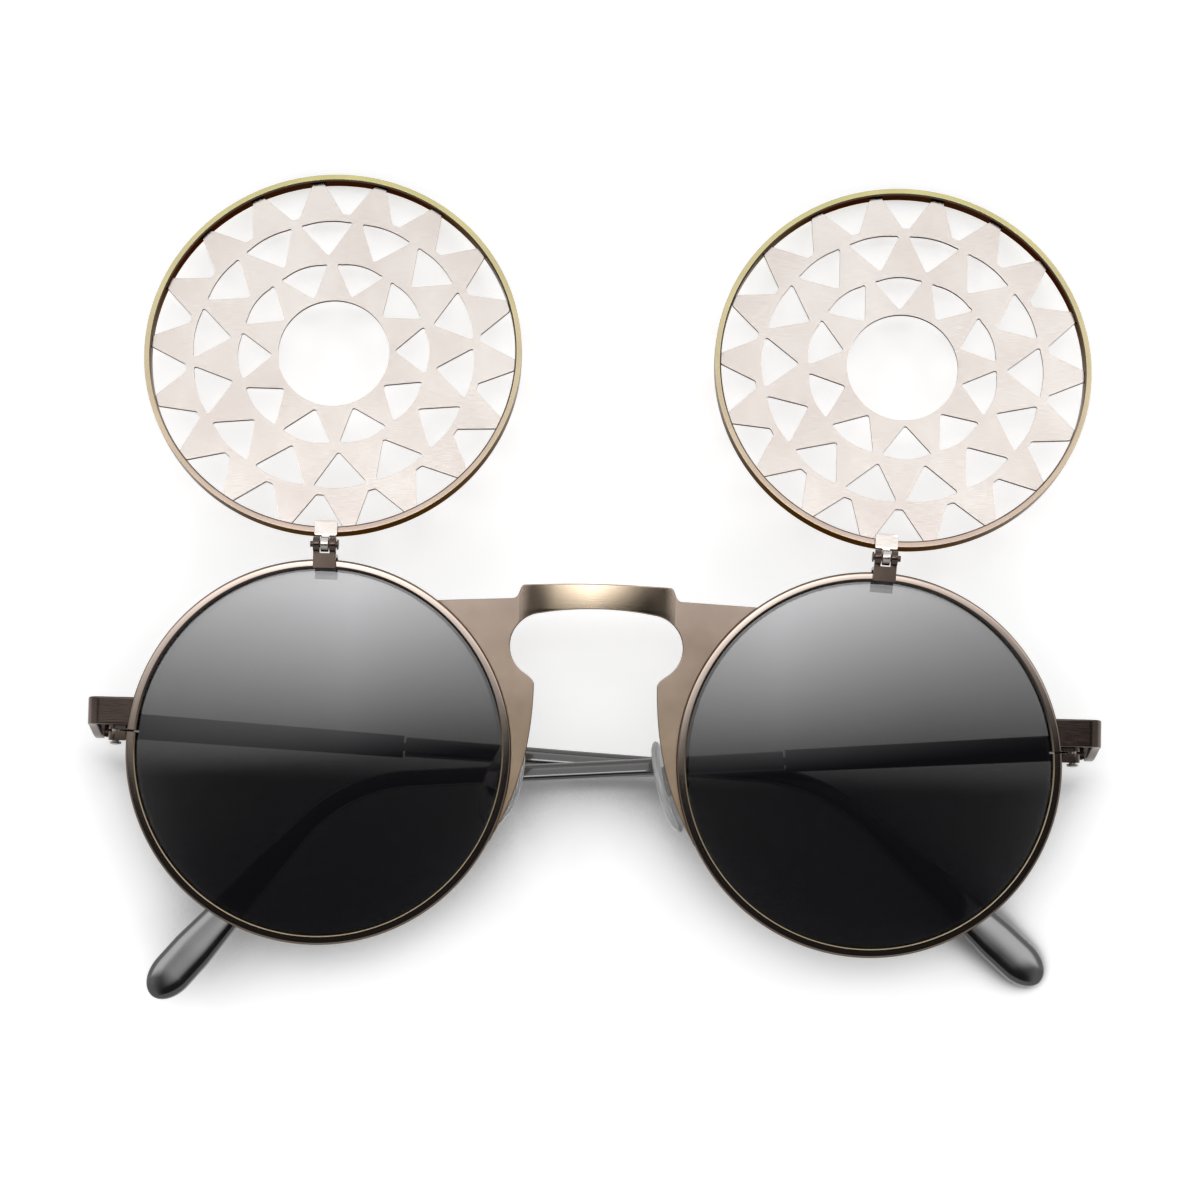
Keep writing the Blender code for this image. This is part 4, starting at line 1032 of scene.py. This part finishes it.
def sleeve_size(name, along):
    """Height and thickness of the sleeve at a distance along the temple."""
    bend_end = BEND_START[name] + BEND_RADIUS[name] * TIP_BEND[name]
    full = TEMPLE_LENGTH - PADDLE_LENGTH
    stations = (
        (BAR_LENGTH, SLEEVE_START_HEIGHT, SLEEVE_THICKNESS),
        (SLIM_START, SLIM_HEIGHT, SLEEVE_THICKNESS),
        (BEND_START[name], SLIM_HEIGHT, SLEEVE_THICKNESS),
        (bend_end, BEND_HEIGHT, SLEEVE_THICKNESS),
        (full, PADDLE_HEIGHT, PADDLE_THICKNESS),
    )
    for one, two in zip(stations, stations[1:]):
        if along <= two[0]:
            share = (along - one[0]) / (two[0] - one[0])
            return tuple(a + (b - a) * share for a, b in zip(one[1:], two[1:]))
    return PADDLE_HEIGHT, PADDLE_THICKNESS


def make_temple_tip(name, side):
    """The moulded sleeve: oval all along, bent behind the ear, with a broad domed end."""
    across = Vector((side, 0, 0))
    start = BAR_LENGTH + GAP
    bore = CORE_RADIUS + RUNNING_GAP

    def section(along, width, height, inset=0.0):
        y, z, angle = temple_path(name, along)
        origin = Vector((side * (BAR_OFFSET - inset), y, z))
        up = Vector((0, sin(angle), cos(angle)))
        return domed_section(origin, across, up, width, height)

    sections = [section(BAR_LENGTH + CORE_LENGTH + GAP, 2 * bore, 2 * bore),
                section(start, 2 * bore, 2 * bore)]
    full = TEMPLE_LENGTH - PADDLE_ROUND
    stops = [start, start + FINE_EDGE, start + SOFT_EDGE]
    stops += [start + SOFT_EDGE + (full - start - SOFT_EDGE) * (i + 1) / SLEEVE_COUNT
              for i in range(SLEEVE_COUNT)]
    stops += [full + PADDLE_ROUND * sin(LAST_ROUND * (i + 1) / SLEEVE_ROUNDS)
              for i in range(SLEEVE_ROUNDS)]
    for i, along in enumerate(stops):
        height, width = sleeve_size(name, along)
        inset = (width - SLEEVE_THICKNESS) / 2
        past = max(along - full, 0) / PADDLE_ROUND
        shrink = sqrt(max(1 - past ** 2, 0))
        height *= shrink
        width *= END_SHARE * shrink ** 0.5 + (1 - END_SHARE) * shrink
        if i == 0:
            height -= SOFT_EDGE
            width -= SOFT_EDGE
        sections.append(section(along, width, height, inset))
    add_piece("sleeve", "temple_tip", name, loft(sections), BLACK,
              temple_swing(name, side), "temple", SOFT_ANGLE)


# Covers

def polar(radius, angle):
    return radius * sin(angle), -radius * cos(angle)


def tooth_points(index):
    pitch = tau / TEETH
    middle = index * pitch
    reach = LATTICE_RADIUS + GAP
    tip = TOOTH_TIP_WIDTH / reach / 2
    root_radius = LATTICE_RADIUS * VALLEY_SHARE
    root = (pitch - VALLEY_WIDTH / root_radius) / 2
    return [polar(root_radius, middle - root), polar(reach, middle - tip),
            polar(reach, middle + tip), polar(root_radius, middle + root)]


def wedge_hole(index, count, turn, arc_share, apex_share):
    pitch = tau / count
    middle = index * pitch + turn
    outer = LATTICE_RADIUS * arc_share
    half = (pitch - NECK_WIDTH / outer) / 2
    corners = [polar(LATTICE_RADIUS * apex_share, middle),
               polar(outer, middle - half), polar(outer, middle + half)]
    soft = rounded(corners, CUT_ROUND)
    step = CORNER_STEPS + 1
    before, after = soft[:2 * step], soft[2 * step:]
    first = Vector(before[-1])
    last = Vector(after[0])
    arch = 1 / cos(half) - 1
    crown = []
    for i in range(1, CROWN_STEPS):
        share = i / CROWN_STEPS
        swell = 1 + arch * (1 - (2 * share - 1) ** 2)
        crown.append(tuple(first.lerp(last, share) * swell))
    return before + crown + after


def make_lattice(name, side):
    teeth = [point for index in range(TEETH) for point in tooth_points(index)]
    outline = rounded(teeth, CUT_ROUND)
    holes = [circle((0, 0), LATTICE_RADIUS * EYE_SHARE, ROUND_STEPS // 2)]
    for count, *row in ((MIDDLE_HOLES, MIDDLE_TURN, MIDDLE_ARC_SHARE, MIDDLE_APEX_SHARE),
                        (INNER_HOLES, INNER_TURN, INNER_ARC_SHARE, INNER_APEX_SHARE)):
        holes += [wedge_hole(index, count, *row) for index in range(count)]
    bm = plate(outline, holes, LATTICE_THICKNESS, HAIR_EDGE, along_y)
    place = cover_ring_frame(name, side) @ spin(-LATTICE_TURN[name], "Y")
    add_flat_piece("lattice", "cover_lattice", name, bm, CHAMPAGNE, place,
                   "cover", PLATE_ANGLE)


def make_cover_ring(name, side):
    half = COVER_DEPTH / 2
    inner = RIM_RADIUS - COVER_WALL
    corners = [(inner + RING_LIP, -half), (RIM_RADIUS, -half), (RIM_RADIUS, half),
               (inner + RING_LIP, half), (inner, half - RING_LIP), (inner, RING_LIP - half)]
    profile = rounded(corners, FINE_EDGE)
    add_flat_piece("ring", "cover_ring", name, revolve(lambda angle: profile, ROUND_STEPS),
                   RING_METAL, cover_ring_frame(name, side), "cover")


def knuckle(low, high):
    bore = circle((0, 0), PIN_RADIUS + RUNNING_GAP, SMALL_STEPS)
    outline = circle((0, 0), BARREL_RADIUS, SMALL_STEPS)
    return slab(outline, [bore], low, high, FINE_EDGE, along_x)


def make_cover_leaf(name, side):
    half = BARREL_WIDTH / 2
    tongue = MIDDLE_BARREL_WIDTH / 2
    bottom = -(AXIS_REACH + COVER_WALL + LEAF_OVERHANG)
    shoulder = -(BARREL_RADIUS + GAP)
    outline = [(-half, bottom), (half, bottom), (half, shoulder), (tongue, shoulder),
               (tongue, -PIN_RADIUS - RUNNING_GAP), (-tongue, -PIN_RADIUS - RUNNING_GAP),
               (-tongue, shoulder), (-half, shoulder)]
    outline = rounded(outline, [GAP, GAP, GAP, FINE_EDGE, 0, 0, FINE_EDGE, GAP])
    back = -GAP
    bm = merge(slab(outline, [], back - LEAF_THICKNESS, back, FINE_EDGE, along_y),
               knuckle(-tongue, tongue))
    add_piece("leaf", "cover_hinge_leaf", name, bm, CHAMPAGNE,
              cover_flip(name, side), "cover")


def make_cover_bracket(name, side):
    half = BARREL_WIDTH / 2
    slot = MIDDLE_BARREL_WIDTH / 2 + RUNNING_GAP
    rim_front = -COVER_AXIS_DEPTH - RIM_DEPTH / 2
    rim_back = rim_front + RIM_DEPTH
    rim_top = -AXIS_REACH
    crown = rim_top + GAP
    top = crown + LEAF_THICKNESS
    front_end = rim_top - RIM_WALL
    tab_end = front_end - TAB_OVERHANG
    front = rim_front - GAP - LEAF_THICKNESS
    back = rim_back + GAP + LEAF_THICKNESS
    outline = [(front, front_end), (front + LEAF_THICKNESS, front_end),
               (front + LEAF_THICKNESS, crown), (back - LEAF_THICKNESS, crown),
               (back - LEAF_THICKNESS, tab_end), (back, tab_end), (back, top), (front, top)]
    shells = [slab(outline, [], -half, half, FINE_EDGE, along_x)]
    for low, high in ((-half, -slot), (slot, half)):
        stem = box_outline(front, front + LEAF_THICKNESS, top - FINE_EDGE,
                           -PIN_RADIUS - RUNNING_GAP)
        shells.append(slab(stem, [], low, high, FINE_EDGE, along_x))
        shells.append(knuckle(low, high))
    add_piece("saddle_bracket", "cover_hinge_bracket", name, merge(*shells), DARK_BRONZE,
              cover_axis(name, side))
    neck = half + RUNNING_GAP
    bm = screw(PIN_RADIUS, PIN_HEAD_RADIUS, side * (neck + PIN_HEAD_WIDTH), -side * neck,
               -side * (neck + PIN_HEAD_WIDTH), along_x)
    add_piece("flip_pin", "cover_hinge_pin", name, bm, DARK_BRONZE,
              cover_axis(name, side))


# Nose pads

def make_nose_pad(name, side):
    sections = []
    for depth_share, size_share in PAD_ROWS:
        loop = []
        for u, v in circle((0, 0), 1, PAD_STEPS):
            taper = 1 - PAD_TAPER * v
            loop.append((u * taper * size_share * PAD_WIDTH / 2,
                         PAD_STANDOFF + depth_share * PAD_THICKNESS,
                         v * size_share * PAD_LENGTH / 2))
        sections.append(loop)
    half_width = STUD_WIDTH / 2
    half_length = STUD_LENGTH / 2
    stud = rounded(box_outline(-half_length, half_length, -half_length, half_length), GAP)
    bore = circle((0, 0), PAD_SCREW_RADIUS + RUNNING_GAP, SMALL_STEPS)
    bm = merge(loft(sections), slab(stud, [bore], -half_width, half_width, FINE_EDGE, along_x))
    add_piece("pad", "nose_pad", name, bm, CLEAR,
              FRONT @ pad_frame(name, side), "pad", SOFT_ANGLE)


def box_depths():
    open_end = STUD_LENGTH / 2 - GAP / 2
    floor = -(STUD_LENGTH / 2 + GAP)
    return open_end, floor, floor - BOX_BASE


def make_pad_box(name, side):
    open_end, floor, base = box_depths()
    slot = STUD_WIDTH / 2 + RUNNING_GAP
    wall = slot + BOX_WALL
    outline = [(-wall, base), (wall, base), (wall, open_end), (slot, open_end),
               (slot, floor), (-slot, floor), (-slot, open_end), (-wall, open_end)]
    half = BOX_LENGTH / 2
    bm = slab(outline, [], -half, half, FINE_EDGE, along_z)
    place = FRONT @ pad_frame(name, side)
    add_piece("pad_cup", "nose_pad_box", name, bm, STEEL, place)
    neck = wall + RUNNING_GAP
    head = 2 * PAD_SCREW_RADIUS - RUNNING_GAP
    bm = screw(PAD_SCREW_RADIUS, head, wall, -neck, -neck - BOX_WALL, along_x)
    add_piece("pad_pin", "nose_pad_screw", name, bm, STEEL, place)


def make_pad_arm(name, side):
    wire = RIM_RADIUS - RIM_WALL / 2
    foot = Vector((side * (LENS_OFFSET - sqrt(wire ** 2 - ARM_LEVEL ** 2)),
                   RIM_DEPTH / 2 + GAP, ARM_LEVEL))
    own = pad_frame(name, side)
    base = box_depths()[2]
    end = own @ Vector((0, base + ARM_RADIUS, -BOX_LENGTH / 2 - GAP))
    run = (own.to_3x3() @ Vector((0, 0, -1))).normalized()
    back = Vector((0, 1, 0))
    span = (end - foot).length
    handle_one = foot + back * (ARM_REACH + abs(end.y - foot.y) / 2)
    handle_two = end + run * span / 3
    sections = []
    for i in range(WIRE_STEPS + 1):
        t = i / WIRE_STEPS
        s = 1 - t
        point = (foot * s ** 3 + handle_one * 3 * s * s * t + handle_two * 3 * s * t * t
                 + end * t ** 3)
        slope = ((handle_one - foot) * s * s + (handle_two - handle_one) * 2 * s * t
                 + (end - handle_two) * t * t).normalized()
        across = slope.cross(Vector((1, 0, 0))).normalized()
        up = slope.cross(across)
        sections.append([point + across * u + up * v
                         for u, v in circle((0, 0), ARM_RADIUS, WIRE_SIDES)])
    add_piece("pad_wire", "nose_pad_arm", name, loft(sections), DARK_BRONZE)


# Stage, light and camera; a direction's slope is its Y, and its spread its X, for a rise of 1

FLOOR_SIZE = 3.0
FLOOR_DROP = 0.0001
FLOOR_PLAIN = ((0.92, 0.92, 0.92), (0.93, 0.93, 0.93))
# The table's painted glow: the reach and span over which it fades as painted shadow, its
# strength, and its level beyond the line
FLOOR_REACH = 0.022
FLOOR_OPEN = (0.55, 0.95)
FLOOR_GLOW = 0.7
FLOOR_FAR_GLOW = 0.80
FLOOR_COLOUR = (0.68, 0.68, 0.68)
SHADE_LEAN = (0.0, 0.6, 0.8)
SHADE_LEVEL = (-0.0045, 0.0005)
SOFTBOX_START = (0.02, 0.30)
SOFTBOX_END = (0.33, 0.43)
SOFTBOX_WIDTH = (0.0, 0.52)
SIDE_START = (0.35, 0.6)
SOFTBOX_SHIFT = 0.05
SOFTBOX_SKEW = 0.11
SOFTBOX_CURVE = 1.25
SOFTBOX_FLOOR = 0.03
SOFTBOX_STRENGTH = 6.0
WALL_START = (0.25, 0.45)
SIDE_LEVEL = (0.15, 0.40)
WALL_RISE = (0.8, 1.6)
WALL_NEAR = 1.0
WALL_FAR = 3.4
WALL_TOP = 0.45
ROOM_START = (0.48, 1.0)
BACK_START = (-0.36, -0.56)
ROOM_RISE = 0.6
PLAIN_START = (1.0, 1.4)
PLAIN_LEVEL = 0.8
ROOM_STRENGTH = 0.025
HORIZON = 0.03
CAMERA_OFFSET = (0.0011, 0.0079, 0.39522)
CAMERA_TURN = (-1.87, -0.11, -1.35)
CAMERA_LENS = 90.0


def make_floor():
    """A white table: white by a glow of painted light where it is open, with painted shadow
    close to the piece where the glow fades, and the glow kept full beyond a line across the
    table on the covers' side.
    """
    n = Nodes("table_white")
    seen = n.seen()
    plain = n.mix(n.grain(3, 1.0), *FLOOR_PLAIN)
    n.set(Base_Color=n.mix(seen, plain, FLOOR_COLOUR), Roughness=0.9)
    n.set(Specular_IOR_Level=0.1, Emission_Color=(1, 1, 1, 1))
    around = n.add("AmbientOcclusion", {"Distance": FLOOR_REACH, "Normal": SHADE_LEAN},
                   samples=16)
    levels = [FRONT.translation.y + level for level in SHADE_LEVEL]
    # Painted light: beyond this line the glow stays full and leaves no shadow
    beyond = n.ramp(n.parts("Object")[1], *levels, 0, FLOOR_FAR_GLOW)
    # Painted shadow: the glow fades where the piece is close
    white = n.math("MAXIMUM", n.ramp(around.outputs["AO"], *FLOOR_OPEN), beyond)
    n.set(Emission_Strength=n.math("MULTIPLY", white, n.math("MULTIPLY", seen, FLOOR_GLOW)))
    bm = bmesh.new()
    bmesh.ops.create_grid(bm, x_segments=1, y_segments=1, size=FLOOR_SIZE)
    mesh = mesh_of("table", bm)
    mesh.materials.append(n.mat)
    item = in_scene("table", mesh)
    item.location.z = -FLOOR_DROP


def make_world():
    """Pale walls all round, a softbox beyond the picture's top, dark straight overhead."""
    world = bpy.data.worlds.new("studio")
    bpy.context.scene.world = world
    world.use_nodes = True
    n = Graph(world.node_tree)
    n.tree.nodes.clear()
    across, ahead, up = n.parts("Generated")
    up = n.math("MAXIMUM", up, HORIZON)
    slope = n.math("DIVIDE", ahead, up)
    sideways = n.math("DIVIDE", across, up)
    spread = n.math("ABSOLUTE", n.math("ADD", sideways, SOFTBOX_SHIFT))
    skewed = n.math("SUBTRACT", slope, n.math("MULTIPLY", sideways, SOFTBOX_SKEW))
    rise = n.math("POWER", n.ramp(skewed, *SOFTBOX_START, kind="LINEAR"), SOFTBOX_CURVE)
    box = n.math("MULTIPLY", rise, n.ramp(slope, *SOFTBOX_END, 1, 0))
    box = n.math("MULTIPLY", box, n.ramp(spread, *SOFTBOX_WIDTH, 1, SOFTBOX_FLOOR, "LINEAR"))
    side = n.ramp(spread, *SIDE_START)
    near = n.math("MAXIMUM", n.ramp(slope, *WALL_START),
                  n.math("MULTIPLY", n.ramp(slope, *SIDE_LEVEL), side))
    far = n.math("MAXIMUM", n.ramp(slope, *WALL_RISE, 0, WALL_TOP), side)
    far = n.ramp(far, 0, 1, WALL_NEAR, WALL_FAR, "LINEAR")
    wall = n.math("MULTIPLY", near, far)
    away = n.math("SQRT", n.math("ADD", n.math("POWER", slope, 2.0),
                                 n.math("POWER", sideways, 2.0)))
    wall = n.math("MINIMUM", wall, n.ramp(away, *PLAIN_START, WALL_FAR, PLAIN_LEVEL))
    wall = n.math("MAXIMUM", wall, n.ramp(away, *ROOM_START, 0, ROOM_RISE))
    wall = n.math("MAXIMUM", wall, n.ramp(slope, *BACK_START, 0, ROOM_RISE))
    total = n.math("ADD", n.math("MULTIPLY", box, SOFTBOX_STRENGTH), wall)
    room = n.add("Background", {"Strength": n.math("ADD", total, ROOM_STRENGTH)})
    white = n.add("Background", {"Color": (1, 1, 1, 1), "Strength": 1.0})
    pick = n.add("MixShader", {0: n.add("LightPath").outputs["Is Camera Ray"],
                               1: room.outputs[0], 2: white.outputs[0]})
    n.add("OutputWorld", {0: pick.outputs[0]})


def make_camera():
    data = bpy.data.cameras.new("camera")
    data.lens = CAMERA_LENS
    data.sensor_width = 36
    data.clip_start = 0.01
    data.clip_end = 20
    item = in_scene("camera", data)
    rx, ry, rz = (radians(a) for a in CAMERA_TURN)
    turn = spin(rz, "Z") @ spin(ry, "Y") @ spin(rx, "X")
    item.matrix_world = shift(FRONT.translation + Vector(CAMERA_OFFSET)) @ turn.transposed()
    bpy.context.scene.camera = item


def main():
    make_bridge()
    for name, side in SIDES:
        for make in (make_rim, make_lens, make_end_piece, make_closing, make_temple_hinge,
                     make_temple_bar, make_temple_tip, make_lattice, make_cover_ring,
                     make_cover_leaf, make_cover_bracket, make_nose_pad, make_pad_box,
                     make_pad_arm):
            make(name, side)
    make_floor()
    make_world()
    make_camera()
    bpy.context.scene.view_settings.view_transform = "Standard"


main()
